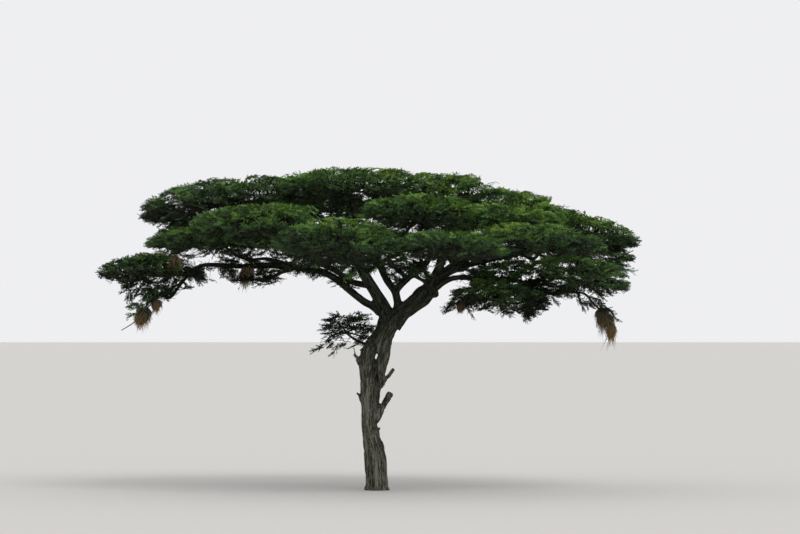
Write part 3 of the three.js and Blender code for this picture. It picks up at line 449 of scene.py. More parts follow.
# Tufts that hang free of the masses: middle, spread, twigs, tilt, heading and painted light,
# and the mass that each is part of
TUFTS = [
    ((-8.3, -0.9, 7.0), 0.25, 5, -0.7, LEFT, -0.3, "left_tip_spray"),
    ((-7.95, -0.9, 6.9), 0.25, 5, -0.6, LEFT, -0.4, "left_tip_spray"),
    ((-7.65, -1.1, 6.75), 0.25, 7, -0.6, LEFT, -0.2, "left_hanging_spray"),
    ((-7.3, -1.0, 6.8), 0.25, 6, -0.6, LEFT, -0.3, "left_hanging_spray"),
    ((-7.6, -1.2, 6.45), 0.2, 5, -0.8, LEFT, -0.3, "left_hanging_spray"),
    ((-8.1, -1.45, 6.2), 0.14, 6, -0.35, LEFT, 0.0, "left_hanging_spray"),
    ((-7.85, -1.65, 6.16), 0.1, 4, -0.9, RIGHT, -0.4, "left_hanging_spray"),
    ((-6.35, -0.7, 7.65), 0.3, 9, -0.1, RIGHT, -0.6, "left_tip_spray"),
    ((-6.1, -0.7, 7.4), 0.3, 9, -0.3, RIGHT, -0.6, "left_tip_spray"),
    ((-6.5, -0.7, 7.2), 0.25, 6, -0.5, RIGHT, -0.6, "left_tip_spray"),
    ((7.55, -1.2, 6.4), 0.08, 2, -0.5, RIGHT, -0.5, "right_low_tip_spray"),
    ((7.7, -1.35, 6.15), 0.06, 3, -0.6, RIGHT, -0.4, "right_low_tip_spray"),
    ((7.88, -1.35, 6.0), 0.06, 3, -0.9, RIGHT, -0.25, "right_low_tip_spray"),
    ((-5.9, 1.4, 9.8), 0.45, 14, 0.0, LEFT, -0.4, "left_upper_tier"),
    ((-4.8, 1.5, 9.9), 0.45, 16, 0.0, LEFT, -0.4, "left_upper_tier"),
    ((-3.7, 1.4, 9.9), 0.4, 16, 0.0, RIGHT, -0.4, "left_upper_tier"),
    ((-2.3, 1.4, 10.2), 0.35, 14, 0.0, LEFT, -0.4, "top_left_tier"),
    ((-0.9, 1.5, 10.3), 0.35, 14, 0.0, LEFT, -0.4, "top_left_tier"),
    ((0.5, 1.4, 10.25), 0.35, 14, 0.0, RIGHT, -0.4, "top_left_tier"),
    ((2.2, 1.7, 10.1), 0.35, 12, 0.0, RIGHT, -0.4, "top_right_tier"),
    ((3.3, 1.7, 9.9), 0.35, 12, 0.0, RIGHT, -0.4, "top_right_tier"),
    ((1.38, -2.5, 8.88), 0.2, 8, -0.2, RIGHT, -0.6, "front_top_tier"),
    ((0.6, -2.5, 8.92), 0.16, 5, -0.2, LEFT, -0.5, "front_top_tier"),
    ((-0.42, 0.2, 9.26), 0.2, 8, -0.2, LEFT, -0.7, "top_left_tier"),
    ((2.62, -1.95, 6.3), 0.08, 4, -0.4, LEFT, -0.3, "right_hanging_mass"),
    ((-6.3, -0.7, 7.8), 0.12, 4, -0.3, RIGHT, -0.5, "left_tip_spray"),
    ((-6.05, -0.7, 7.2), 0.15, 5, -0.5, RIGHT, -0.6, "left_tip_spray"),
    ((6.95, -0.9, 6.5), 0.2, 5, -0.6, RIGHT, -0.5, "right_low_tip_spray"),
    ((8.35, -0.5, 8.0), 0.2, 6, -0.1, RIGHT, -0.2, "right_tip_tier"),
    ((-7.15, 0.0, 9.12), 0.2, 7, -0.1, LEFT, -0.4, "left_upper_tier"),
    ((-7.3, -0.7, 7.97), 0.3, 8, 0.0, LEFT, 0.1, "left_tip_spray"),
    ((-8.15, -0.8, 7.66), 0.2, 8, 0.0, LEFT, 0.1, "left_tip_spray"),
    ((-8.4, -0.8, 6.85), 0.15, 4, -0.7, LEFT, -0.5, "left_tip_spray"),
    ((-7.0, -0.7, 7.05), 0.25, 8, -0.4, LEFT, -0.4, "left_hanging_spray"),
    ((7.9, -0.6, 7.88), 0.25, 7, -0.1, RIGHT, -0.2, "right_tip_tier"),
    ((-0.2, -0.4, 7.5), 0.12, 5, -0.5, LEFT, 0.0, "front_left_tier"),
    ((1.3, -0.45, 7.7), 0.2, 6, -0.2, RIGHT, -0.4, "front_top_tier"),
    ((7.3, -0.9, 6.5), 0.2, 4, -0.6, RIGHT, -0.4, "right_low_tip_spray"),
    ((7.6, -1.0, 6.9), 0.25, 4, -0.4, RIGHT, -0.4, "right_low_tip_spray"),
    ((5.08, -2.0, 6.02), 0.18, 6, -0.9, RIGHT, -0.45, "right_hanging_mass"),
    ((1.35, -0.4, 7.85), 0.25, 8, -0.2, RIGHT, -0.3, "front_top_tier"),
    ((0.55, -0.4, 7.75), 0.2, 5, -0.2, LEFT, -0.3, "front_top_tier"),
    ((2.75, -1.9, 6.25), 0.22, 7, -0.3, LEFT, -0.2, "right_hanging_mass"),
    ((3.05, -1.9, 6.3), 0.22, 5, -0.6, RIGHT, -0.4, "right_hanging_mass"),
    ((5.9, -0.6, 6.9), 0.28, 5, -0.3, RIGHT, -0.5, "right_under_spray"),
    ((6.4, -0.6, 6.85), 0.3, 6, -0.3, RIGHT, -0.5, "right_under_spray"),
    ((5.3, -0.4, 6.8), 0.35, 7, -0.5, RIGHT, -0.5, "right_under_spray"),
    ((1.2, -0.4, 7.55), 0.22, 9, -0.2, RIGHT, -0.1, "front_top_tier"),
    ((1.5, -0.4, 7.5), 0.15, 5, -0.2, RIGHT, -0.2, "front_top_tier"),
    ((0.72, -0.2, 7.2), 0.12, 3, -0.2, LEFT, -0.3, "front_top_tier"),
    ((8.1, -0.7, 7.6), 0.25, 8, -0.15, RIGHT, 0.0, "right_tip_tier"),
    ((8.3, -0.5, 7.75), 0.2, 6, -0.1, RIGHT, -0.2, "right_tip_tier"),
    ((7.9, -0.8, 7.5), 0.25, 6, -0.25, RIGHT, -0.3, "right_tip_tier"),
    ((-1.65, -0.2, 5.6), 0.12, 3, 0.1, LEFT, -0.6, "low_left_spray"),
    ((-1.5, -0.3, 5.75), 0.25, 5, 0.0, LEFT, -0.6, "low_left_spray"),
    ((-0.75, -0.3, 5.8), 0.22, 5, 0.1, RIGHT, -0.6, "low_left_spray"),
    ((-0.4, -0.35, 5.5), 0.2, 6, 0.1, RIGHT, -0.6, "low_left_spray"),
    ((-0.4, -0.3, 5.15), 0.15, 3, -0.3, LEFT, -0.6, "low_left_spray"),
    ((-1.95, -0.3, 4.9), 0.12, 2, -0.5, LEFT, -0.6, "low_left_spray"),
    ((-1.4, -0.35, 4.85), 0.12, 2, -0.6, LEFT, -0.6, "low_left_spray"),
    ((0.95, -0.4, 7.6), 0.2, 7, -0.3, RIGHT, -0.4, "front_top_tier"),
    ((0.5, -0.3, 7.4), 0.15, 4, -0.4, RIGHT, -0.4, "front_top_tier"),
    ((-1.0, -0.4, 7.62), 0.15, 4, -0.3, LEFT, -0.3, "front_left_tier"),
    ((-1.7, -1.4, 8.7), 0.6, 20, 0.1, LEFT, 0.35, "front_left_tier"),
    ((-1.9, -2.3, 8.65), 0.6, 20, 0.1, LEFT, 0.35, "front_left_tier"),
    ((-1.0, -2.0, 8.65), 0.6, 16, 0.1, RIGHT, 0.35, "front_left_tier"),
]
# Gaps through the crown as seen from the front: middle across and up, half sizes
GAPS = [
    (-5.95, 7.72, 0.42, 0.17),
    (2.7, 6.98, 0.45, 0.2),
    (2.3, 6.75, 0.2, 0.25),
    (-9.35, 6.87, 0.75, 0.3),
    (-6.65, 6.45, 0.35, 0.35),
    (-5.2, 6.85, 0.35, 0.3),
    (-3.4, 6.72, 0.5, 0.22),
    (6.3, 7.62, 0.45, 0.07),
    (4.5, 8.22, 0.45, 0.15),
    (4.1, 10.56, 0.62, 0.25),
    (6.5, 9.8, 0.6, 0.25),
    (-1.1, 11.06, 0.8, 0.1),
    (-3.05, 7.05, 0.35, 0.3),
    (-7.4, 8.14, 0.5, 0.06),
    (2.0, 11.0, 0.45, 0.27),
    (-7.0, 10.48, 0.6, 0.13),
    (-6.1, 8.07, 0.3, 0.08),
    (-3.9, 7.88, 0.35, 0.08),
    (-3.1, 7.84, 0.3, 0.07),
]
# Golden angle, which spreads fans evenly, and the most triangles of one piece
GOLDEN = math.pi * (3 - math.sqrt(5))
PIECE_LIMIT = 190000


# Numbers and noise

def lattice(ix, iy, iz, seed):
    """A number from 0 to 1 for each corner of a grid, always the same for one seed."""
    mixed = (ix * 374761393 + iy * 668265263 + iz * 1274126177 + seed * 974634777) & 0xFFFFFFFF
    mixed = ((mixed ^ (mixed >> 13)) * 1103515245) & 0xFFFFFFFF
    return ((mixed ^ (mixed >> 16)) & 0xFFFFFF) / 0xFFFFFF


def noise(points, seed):
    """Smooth noise from 0 to 1 at each point."""
    cell = np.floor(points).astype(np.int64)
    part = points - cell
    part = part * part * (3 - 2 * part)
    total = np.zeros(len(points))
    for dx in (0, 1):
        for dy in (0, 1):
            for dz in (0, 1):
                weight = (
                    (part[:, 0] if dx else 1 - part[:, 0])
                    * (part[:, 1] if dy else 1 - part[:, 1])
                    * (part[:, 2] if dz else 1 - part[:, 2])
                )
                corner = lattice(cell[:, 0] + dx, cell[:, 1] + dy, cell[:, 2] + dz, seed)
                total += weight * corner
    return total


def seeded_random(seed):
    """The same numbers as the solids' rule draws."""
    state = seed

    def draw():
        nonlocal state
        state = (state + 0x6D2B79F5) & 0xFFFFFFFF
        t = state
        t = ((t ^ (t >> 15)) * (t | 1)) & 0xFFFFFFFF
        t ^= (t + (((t ^ (t >> 7)) * (t | 61)) & 0xFFFFFFFF)) & 0xFFFFFFFF
        return ((t ^ (t >> 14)) & 0xFFFFFFFF) / 4294967296

    return draw


def unit(vectors):
    length = np.linalg.norm(vectors, axis=-1, keepdims=True)
    return vectors / np.maximum(length, 1e-9)


# Limbs

def smooth_line(points):
    """Centripetal Catmull-Rom curve through the points, as dense points."""
    p = np.array(points, dtype=float)
    p = np.vstack([2 * p[0] - p[1], p, 2 * p[-1] - p[-2]])
    dense = []
    for i in range(1, len(p) - 2):
        a, b, c, d = p[i - 1 : i + 3]
        ab = max(np.sum((b - a) ** 2) ** 0.25, 1e-4)
        bc = max(np.sum((c - b) ** 2) ** 0.25, 1e-4)
        cd = max(np.sum((d - c) ** 2) ** 0.25, 1e-4)
        start = ((b - a) / ab - (c - a) / (ab + bc) + (c - b) / bc) * bc
        end = ((c - b) / bc - (d - b) / (bc + cd) + (d - c) / cd) * bc
        t = np.linspace(0, 1, SPAN_POINTS, endpoint=False)[:, None]
        cubic = 2 * b - 2 * c + start + end
        square = -3 * b + 3 * c - 2 * start - end
        dense.append(b + start * t + square * t**2 + cubic * t**3)
    dense.append(p[-2:-1])
    return np.vstack(dense)


class Limb:
    """A limb's middle line, with the radius along it."""

    def __init__(self, name, root, tip, points, taper=1, swelling=None):
        self.name = name
        self.root = root
        self.tip = tip
        self.taper = taper
        self.swelling = swelling
        self.dense = smooth_line(points)
        steps = np.linalg.norm(np.diff(self.dense, axis=0), axis=1)
        self.arc = np.concatenate([[0], np.cumsum(steps)])
        self.length = self.arc[-1]

    def at(self, fraction):
        where = np.clip(fraction, 0, 1) * self.length
        return np.stack([np.interp(where, self.arc, self.dense[:, k]) for k in range(3)], axis=-1)

    def end_direction(self):
        return unit(self.at(1.0) - self.at(NEAR_END))

    def radius(self, fraction):
        size = self.tip + (self.root - self.tip) * (1 - fraction) ** self.taper
        if self.swelling:
            away = (fraction - self.swelling["at"]) / self.swelling["reach"]
            size = size + self.swelling["size"] * np.exp(-away * away)
        return size


def travelling_frames(line):
    """Two directions across a line at each of its points, carried along without twist."""
    along = unit(np.gradient(line, axis=0))
    guide = UP if abs(along[0, 2]) < STEEP_ROOT else np.array([1.0, 0, 0])
    across = unit(np.cross(along[0], guide))
    rows = []
    for direction in along:
        across = unit(across - direction * np.dot(across, direction))
        rows.append(across)
    across = np.array(rows)
    return along, across, np.cross(across, along)


def ring_of(across, over, sides):
    """A ring of unit vectors for each pair of directions across a line."""
    angle = (np.arange(sides) / sides * TURN)[:, None]
    return across[..., None, :] * np.cos(angle) + over[..., None, :] * np.sin(angle)


def grid_faces(rows, sides):
    row = np.arange(rows - 1)[:, None] * sides
    side = np.arange(sides)[None]
    after = (side + 1) % sides
    return np.stack(
        [row + side, row + sides + side, row + sides + after, row + after], axis=-1
    ).reshape(-1, 4)


def end_faces(rows, sides):
    """The two ends of a closed tube."""
    last = (rows - 1) * sides
    return [tuple(range(sides)), tuple(last + k for k in reversed(range(sides)))]


def closed_tube(line, radii, sides):
    """One closed tube: points and faces."""
    _, across, over = travelling_frames(line)
    ring = ring_of(across, over, sides)
    points = (line[:, None] + ring * np.asarray(radii)[:, None, None]).reshape(-1, 3)
    return points, [tuple(f) for f in grid_faces(len(line), sides)] + end_faces(len(line), sides)


def rings_round(along, steep, sides):
    """Rings of unit vectors round many lines, each set against an upright or level guide."""
    guide = np.where(steep, np.array([1.0, 0, 0]), UP)
    across = unit(np.cross(along, guide))
    return ring_of(across, np.cross(across, along), sides)


def copies(faces, count, size):
    """The same faces for each of many forms that have a number of points each."""
    return (faces[None] + (np.arange(count) * size)[:, None, None]).reshape(-1, 3)


def open_tubes(lines, radii, sides):
    """Many thin tubes at once, as triangles: lines (m, n, 3) and radii (m, n)."""
    lines = np.asarray(lines, dtype=float)
    count, rows, _ = lines.shape
    along = unit(np.gradient(lines, axis=1))
    ring = rings_round(along, np.abs(along[:, :1, 2:3]) > STEEP, sides)
    points = (lines[:, :, None] + ring * radii[:, :, None, None]).reshape(-1, 3)
    quads = grid_faces(rows, sides)
    triangles = np.vstack([quads[:, [0, 1, 2]], quads[:, [0, 2, 3]]])
    return points, copies(triangles, count, rows * sides)


def spikes(starts, ends, width):
    """Thin three-sided spikes, as triangles."""
    along = unit(ends - starts)
    ring = rings_round(along, np.abs(along[:, 2:3]) > STEEP, 3)
    points = np.concatenate([starts[:, None] + ring * width, ends[:, None]], axis=1).reshape(-1, 3)
    return points, copies(np.array([[0, 3, 1], [1, 3, 2], [2, 3, 0]]), len(starts), 4)


def on_sphere(polar, angle):
    """Points on a unit sphere, by the angle from the top and round it."""
    x = np.sin(polar) * np.cos(angle)
    y = np.sin(polar) * np.sin(angle)
    return np.stack(np.broadcast_arrays(x, y, np.cos(polar)), axis=-1)


def ball(middle, half, rows=16, sides=24):
    """A ball with a very small flat at each pole."""
    polar = np.linspace(POLE, math.pi - POLE, rows)
    points = on_sphere(polar[:, None], np.arange(sides) / sides * TURN).reshape(-1, 3)
    faces = [tuple(f) for f in grid_faces(rows, sides)] + end_faces(rows, sides)
    return points * np.array(half) + np.array(middle), faces


# Blender objects

def mesh_object(name, points, faces):
    mesh = bpy.data.meshes.new(name)
    if isinstance(faces, np.ndarray):
        size = faces.shape[1]
        mesh.vertices.add(len(points))
        mesh.vertices.foreach_set("co", np.asarray(points, dtype=np.float32).ravel())
        mesh.loops.add(faces.size)
        mesh.loops.foreach_set("vertex_index", faces.astype(np.int32).ravel())
        mesh.polygons.add(len(faces))
        mesh.polygons.foreach_set("loop_start", np.arange(0, faces.size, size, dtype=np.int32))
        mesh.update(calc_edges=True)
    else:
        mesh.from_pydata([tuple(p) for p in points], [], faces)
        mesh.update()
    made = bpy.data.objects.new(name, mesh)
    bpy.context.scene.collection.objects.link(made)
    return made


def finish_piece(piece, material, nodes):
    piece.data.materials.clear()
    piece.data.materials.append(material)
    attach(piece, "root")
    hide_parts(*sorted(nodes))


def mesh_points(piece):
    flat = np.empty(len(piece.data.vertices) * 3, dtype=np.float32)
    piece.data.vertices.foreach_get("co", flat)
    return flat.reshape(-1, 3).astype(float)


def keep_field(piece, name, values):
    """Keeps a number or a vector for each point, for the bark's look."""
    kind, key = ("FLOAT", "value") if values.ndim == 1 else ("FLOAT_VECTOR", "vector")
    attribute = piece.data.attributes.new(name, kind, "POINT")
    attribute.data.foreach_set(key, values.astype(np.float32).ravel())


def smooth_shade(piece):
    piece.data.polygons.foreach_set("use_smooth", np.ones(len(piece.data.polygons), dtype=bool))


# Materials

class Look:
    """A material that is being made, with one short call for each kind of node."""

    def __init__(self, name, roughness):
        self.material = bpy.data.materials.new(name)
        self.material.use_nodes = True
        self.tree = self.material.node_tree
        self.inputs = self.tree.nodes["Principled BSDF"].inputs
        self.inputs["Roughness"].default_value = roughness

    def put(self, value, socket):
        """Links a node's output to a socket, or sets a number or colour on it."""
        if isinstance(value, bpy.types.NodeSocket):
            self.tree.links.new(value, socket)
        else:
            socket.default_value = value

    def node(self, kind, inputs, output=0, **settings):
        made = self.tree.nodes.new("ShaderNode" + kind)
        for key, value in settings.items():
            setattr(made, key, value)
        for key, value in inputs.items():
            self.put(value, made.inputs[key])
        return made.outputs[output]

    def place(self):
        return self.node("TexCoord", {}, "Object")

    def field(self, name, output="Fac"):
        return self.node("Attribute", {}, output, attribute_name=name)

    def noise(self, source, scale, detail, rough=0.55):
        """Noise of one scale, or of a scale for each direction."""
        if isinstance(scale, tuple):
            source = self.node("Mapping", {"Vector": source, "Scale": scale})
            scale = 1.0
        inputs = {"Vector": source, "Scale": scale, "Detail": detail, "Roughness": rough}
        return self.node("TexNoise", inputs, "Fac")

    def ramp(self, source, *stops):
        """Colours along a value, from rows of position, red, green and blue."""
        node = self.tree.nodes.new("ShaderNodeValToRGB")
        while len(node.color_ramp.elements) < len(stops):
            node.color_ramp.elements.new(0.5)
        for element, (position, red, green, blue) in zip(node.color_ramp.elements, stops):
            element.position = position
            element.color = (red, green, blue, 1)
        self.tree.links.new(source, node.inputs["Fac"])
        return node.outputs["Color"]

    def mix(self, factor, first, second, blend="MIX"):
        inputs = {0: factor, 6: first, 7: second}
        return self.node("Mix", inputs, 2, data_type="RGBA", blend_type=blend)

    def times(self, first, second):
        return self.mix(1.0, first, second, "MULTIPLY")

    def math(self, operation, *values):
        return self.node("Math", dict(enumerate(values)), operation=operation)

    def bump(self, height, strength, distance):
        inputs = {"Strength": strength, "Distance": distance, "Height": height}
        self.put(self.node("Bump", inputs, "Normal"), self.inputs["Normal"])


# Bark: how matt it is, the scales of its furrows, plates and pale patches across and along the
# grain, and how far the plates and all of it stand out
BARK_ROUGHNESS = 0.92
BARK_SHEEN = 0.12
FURROW_SCALE = (19, 19, 2.6)
PLATE_SCALE = (38, 38, 11)
LICHEN_SCALE = (7, 7, 0.8)
# Pale patches: brighter than the lightest bark by this factor, at most this strong
LICHEN_TONE = 1.45
LICHEN_STRENGTH = 0.7
PLATE_RELIEF = 0.35
BARK_RELIEF = 0.9
# Tones of the bark's furrows, plates and crests, and the depth of its finest relief
TRUNK_BARK = ((0.011, 0.011, 0.009), (0.046, 0.047, 0.036), (0.168, 0.17, 0.135), 0.03)
BOUGH_BARK = ((0.014, 0.014, 0.011), (0.045, 0.045, 0.035), (0.11, 0.108, 0.084), 0.012)
TWIG_BARK = ((0.014, 0.013, 0.01), (0.034, 0.031, 0.023), (0.075, 0.068, 0.05), 0.004)


def bark_material(name, dark, middle, light, relief):
    """Furrowed bark that runs along the limb, by the grain kept on each point.

    It is darker where it is shaded by the crown, darker in the trunk's grooves as painted shade,
    and brown where a stub has broken off.
    """
    look = Look(name, BARK_ROUGHNESS)
    look.inputs["Specular IOR Level"].default_value = BARK_SHEEN
    run = look.field("grain", "Vector")
    furrow = look.noise(run, FURROW_SCALE, 6.0, 0.66)
    plate = look.noise(run, PLATE_SCALE, 5.0, 0.65)
    patch = look.noise(run, LICHEN_SCALE, 6.0, 0.66)
    tone = look.ramp(furrow, (0.36, *dark), (0.47, *middle), (0.66, *light))
    spotted = look.times(tone, look.ramp(plate, (0.38, 0.4, 0.4, 0.4), (0.62, 1.6, 1.6, 1.6)))
    lichen = look.math("MULTIPLY", look.ramp(patch, (0.54, 0, 0, 0), (0.68, 1, 1, 1)), LICHEN_STRENGTH)
    mottled = look.mix(lichen, spotted, (*(LICHEN_TONE * v for v in light), 1))
    height = look.node("SeparateXYZ", {0: look.place()}, "Z")
    rise = look.node("MapRange", {"Value": height, "From Min": SHADE_FROM, "From Max": SHADE_TO})
    shaded = look.times(mottled, look.ramp(rise, (0, 1, 1, 1), (1, *BARK_SHADE)))
    # Painted shade in the trunk's grooves
    groove_shaded = look.times(shaded, look.ramp(look.field("groove"), (0, 1, 1, 1), (1, *GROOVE_SHADE)))
    colour = look.mix(look.field("broken"), groove_shaded, (*BROKEN_WOOD, 1))
    look.put(colour, look.inputs["Base Color"])
    look.bump(look.math("MULTIPLY_ADD", plate, PLATE_RELIEF, furrow), BARK_RELIEF, relief)
    return look.material


# Leaves: their sheen, and the scale and weight of their green's drift, by branch and by leaf
LEAF_SHEEN = 0.08
BRANCH_DRIFT = (0.9, 0.4)
LEAF_DRIFT = (14.0, 0.6)


def leaf_material(name, dark, light, roughness):
    """Matt leaves whose green drifts from branch to branch and from leaf to leaf."""
    look = Look(name, roughness)
    look.inputs["Specular IOR Level"].default_value = LEAF_SHEEN
    broad = look.noise(look.place(), BRANCH_DRIFT[0], 2.0)
    fine = look.noise(look.place(), LEAF_DRIFT[0], 3.0)
    drift = look.math("MULTIPLY_ADD", fine, LEAF_DRIFT[1], look.math("MULTIPLY", broad, BRANCH_DRIFT[1]))
    look.put(look.ramp(drift, (0.36, *dark), (0.64, *light)), look.inputs["Base Color"])
    return look.material


STRAW_ROUGHNESS = 0.85
STRAND_SCALE = (45, 45, 9)
STRAND_BUMP = (0.6, 0.01)


def straw_material(name, dark, light):
    """Dry grass, streaked along its upright strands."""
    look = Look(name, STRAW_ROUGHNESS)
    strand = look.noise(look.place(), STRAND_SCALE, 4.0, 0.6)
    look.put(look.ramp(strand, (0.35, *dark), (0.62, *light)), look.inputs["Base Color"])
    look.bump(strand, *STRAND_BUMP)
    return look.material


# Wood: one skin over the trunk, its stubs and the main limbs

# The grid that the skin is remeshed on, how it is smoothed, and the tubes that it covers
SKIN_GRID = 0.035
SKIN_SMOOTHING = 0.5
SKIN_PASSES = 3
LIMB_STEP = 0.06
LIMB_SIDES = 20
STUB_ROWS = 12
STUB_SIDES = 14
SLIT_SIDES = 16
# Knots along a stub: how much thicker, and how close together
STUB_KNOTS = (0.12, 9)
# Small bends in the limbs, and how much and how far the root of each swells
BEND_SCALE = 1.7
BEND_SEEDS = (5, 16, 27)
LIMB_BEND = 0.05
LIMB_COLLAR = (0.22, 0.25)


def groove_share(groove, x, z):
    """How deep in one of the trunk's grooves each point lies, from 0 to 1."""
    middle = groove["x"] + groove["lean"] * (groove["z"] - z)
    across = ((x - middle) / groove["width"]) ** 2
    along = ((z - groove["z"]) / groove["reach"]) ** 2
    return np.exp(-across - along)


def trunk_tube():
    table = np.array(TRUNK_PROFILE, dtype=float)
    height = np.linspace(0, table[-1, 0], TRUNK_ROWS)
    middle = np.interp(height, table[:, 0], table[:, 1])
    half_width = np.interp(height, table[:, 0], table[:, 2])
    angle = np.arange(TRUNK_SIDES) / TRUNK_SIDES * TURN
    squash = 1 - TRUNK_FLATTENING * np.exp(-(((height - TRUNK_FLATTEST) / TRUNK_FLAT_REACH) ** 2))
    flute = 1 + FLUTE_DEPTH * np.cos(FLUTE_COUNT * angle[None] + height[:, None])
    radius = half_width[:, None] * flute
    x = middle[:, None] + np.sin(angle) * radius
    y = -np.cos(angle) * radius * squash[:, None]
    heights = np.repeat(height[:, None], TRUNK_SIDES, axis=1)
    for groove in GROOVES:
        depth = groove["depth"] * groove_share(groove, x, heights)
        y = y - np.sign(y) * np.minimum(depth, np.abs(y) * GROOVE_MOST)
    faces = [tuple(f) for f in grid_faces(TRUNK_ROWS, TRUNK_SIDES)]
    faces += end_faces(TRUNK_ROWS, TRUNK_SIDES)
    return np.stack([x, y, heights], axis=-1).reshape(-1, 3), [face[::-1] for face in faces]


def apply_modifiers(piece):
    depsgraph = bpy.context.evaluated_depsgraph_get()
    mesh = bpy.data.meshes.new_from_object(piece.evaluated_get(depsgraph))
    piece.modifiers.clear()
    old = piece.data
    piece.data = mesh
    bpy.data.meshes.remove(old)


def cut(piece, points, faces):
    tool = mesh_object("cutter", points, faces)
    modifier = piece.modifiers.new("cut", "BOOLEAN")
    modifier.operation = "DIFFERENCE"
    modifier.solver = "EXACT"
    modifier.object = tool
    apply_modifiers(piece)
    bpy.data.objects.remove(tool)


def slit_tube():
    line = np.array([[0, -SLIT["depth"] / 2, 0], [0, SLIT["depth"] / 2, 0]])
    points, faces = closed_tube(line, [1, 1], SLIT_SIDES)
    points[:, 0] *= SLIT["half_width"]
    points[:, 2] *= SLIT["half_height"]
    lean = SLIT["tilt"]
    x = points[:, 0] * math.cos(lean) + points[:, 2] * math.sin(lean)
    z = points[:, 2] * math.cos(lean) - points[:, 0] * math.sin(lean)
    points[:, 0] = x + SLIT["x"]
    points[:, 2] = z + SLIT["z"]
    return points, faces


limbs = {}
for name, (root, tip, taper, points) in MAIN_LIMBS.items():
    limbs[name] = Limb(name, root, tip, points, taper, SWELLINGS.get(name))


def bough_to(mass):
    """A bough that carries a mass from its parent, by rule: it rises, then levels out."""
    parent = limbs[mass["parent"]]
    start = parent.at(mass["from"])
    middle = np.array(mass["at"], dtype=float)
    inward = start - middle
    inward[2] = 0
    reach = min(np.linalg.norm(inward) * BOUGH_INWARD, BOUGH_END_SHARE * mass["half"][0])
    end = middle + unit(inward) * reach
    above = start[2] > middle[2] + BOUGH_END_DROP * mass["half"][2]
    drop = OPEN_END_DROP if mass["name"] in OPEN_LOWEST else BOUGH_END_DROP * (-1 if above else 1)
    end[2] -= drop * mass["half"][2]
    span = end - start
    rise = np.linalg.norm(span) * BOUGH_ARCH
    root = min(BOUGH_ROOT_MOST, BOUGH_ROOT_SHARE * parent.radius(mass["from"]))
    bends = [start + span * along + UP * rise * lift for along, lift in BOUGH_BENDS]
    name = mass["name"] + "_bough"
    root = max(root, BOUGH_TIP * BOUGH_ROOT_LEAST)
    limbs[name] = Limb(name, root, BOUGH_TIP, [start, *bends, end])
    return name


rule_boughs = [bough_to(mass) for mass in MASSES if "parent" in mass]
for name, (parent, share, root, tip, points) in NEST_LIMBS.items():
    limbs[name] = Limb(name, root, tip, [limbs[parent].at(share), *points])


def wobble(limb, line, amount):
    """Small bends that real limbs have, fading out at both ends."""
    fade = np.sin(np.linspace(0, math.pi, len(line)))[:, None]
    place = line * BEND_SCALE + sum(map(ord, limb.name))
    shift = [noise(place, seed) - 0.5 for seed in BEND_SEEDS]
    return line + np.stack(shift, axis=-1) * fade * amount


def collar(limb, fractions, size, reach):
    """How much thicker a limb is where it leaves its parent."""
    return 1 + size * np.exp(-((fractions * limb.length / reach) ** 2))


def wood_skin():
    """The trunk with its slit and hollow, the stubs, the main limbs and the knuckle, as one."""
    trunk = mesh_object("trunk_blank", *trunk_tube())
    cut(trunk, *slit_tube())
    cut(trunk, *ball(HOLLOW["at"], HOLLOW["half"]))
    parts = [trunk]
    for number, (root, tip, points) in enumerate(STUBS):
        limb = Limb(f"stub_{number}", root, tip, points)
        fractions = np.linspace(0, 1, STUB_ROWS)
        knots = 1 + STUB_KNOTS[0] * np.sin(fractions * STUB_KNOTS[1] + number)
        tube = closed_tube(limb.at(fractions), limb.radius(fractions) * knots, STUB_SIDES)
        parts.append(mesh_object(limb.name, *tube))
    for name in MAIN_LIMBS:
        limb = limbs[name]
        fractions = np.linspace(0, 1, int(limb.length / LIMB_STEP))
        line = wobble(limb, limb.at(fractions), LIMB_BEND)
        radii = limb.radius(fractions) * collar(limb, fractions, *LIMB_COLLAR)
        parts.append(mesh_object(f"limb_{name}", *closed_tube(line, radii, LIMB_SIDES)))
    parts.append(mesh_object("knuckle", *ball(KNUCKLE["at"], KNUCKLE["half"])))
    with bpy.context.temp_override(
        active_object=trunk, object=trunk, selected_objects=parts, selected_editable_objects=parts
    ):
        bpy.ops.object.join()
    modifier = trunk.modifiers.new("skin", "REMESH")
    modifier.mode = "VOXEL"
    modifier.voxel_size = SKIN_GRID
    smooth = trunk.modifiers.new("soften", "SMOOTH")
    smooth.factor = SKIN_SMOOTHING
    smooth.iterations = SKIN_PASSES
    apply_modifiers(trunk)
    trunk.name = "bark"
    return trunk


# Points along each limb that the bark's grain is read from: how far apart, how many at least,
# where the trunk's begin and end, how far the grain of one limb is shifted from the next, and how many
# points of the skin are compared with them at a time
SAMPLE_STEP = 0.08
FEWEST_SAMPLES = 8
TRUNK_SPAN = (-0.2, 6.0)
GRAIN_SHIFT = 17.3
CHUNK = 4000


def axis_samples():
    """Points along the trunk and limbs, with their radius, frame and distance from the root."""
    table = np.array(TRUNK_PROFILE, dtype=float)
    height = np.arange(*TRUNK_SPAN, SAMPLE_STEP)
    middle = np.interp(height, table[:, 0], table[:, 1])
    lines = [np.stack([middle, 0 * height, height], axis=-1)]
    sizes = [np.interp(height, table[:, 0], table[:, 2])]
    for name in MAIN_LIMBS:
        limb = limbs[name]
        fractions = np.linspace(0, 1, max(FEWEST_SAMPLES, int(limb.length / SAMPLE_STEP)))
        lines.append(limb.at(fractions))
        sizes.append(limb.radius(fractions))
    rows = []
    for number, (line, size) in enumerate(zip(lines, sizes)):
        along, across, over = travelling_frames(line)
        steps = np.linalg.norm(np.diff(line, axis=0), axis=1)
        run = np.concatenate([[0], np.cumsum(steps)]) + number * GRAIN_SHIFT
        rows.append(np.hstack([line, size[:, None], across, over, along, run[:, None]]))
    return np.vstack(rows)


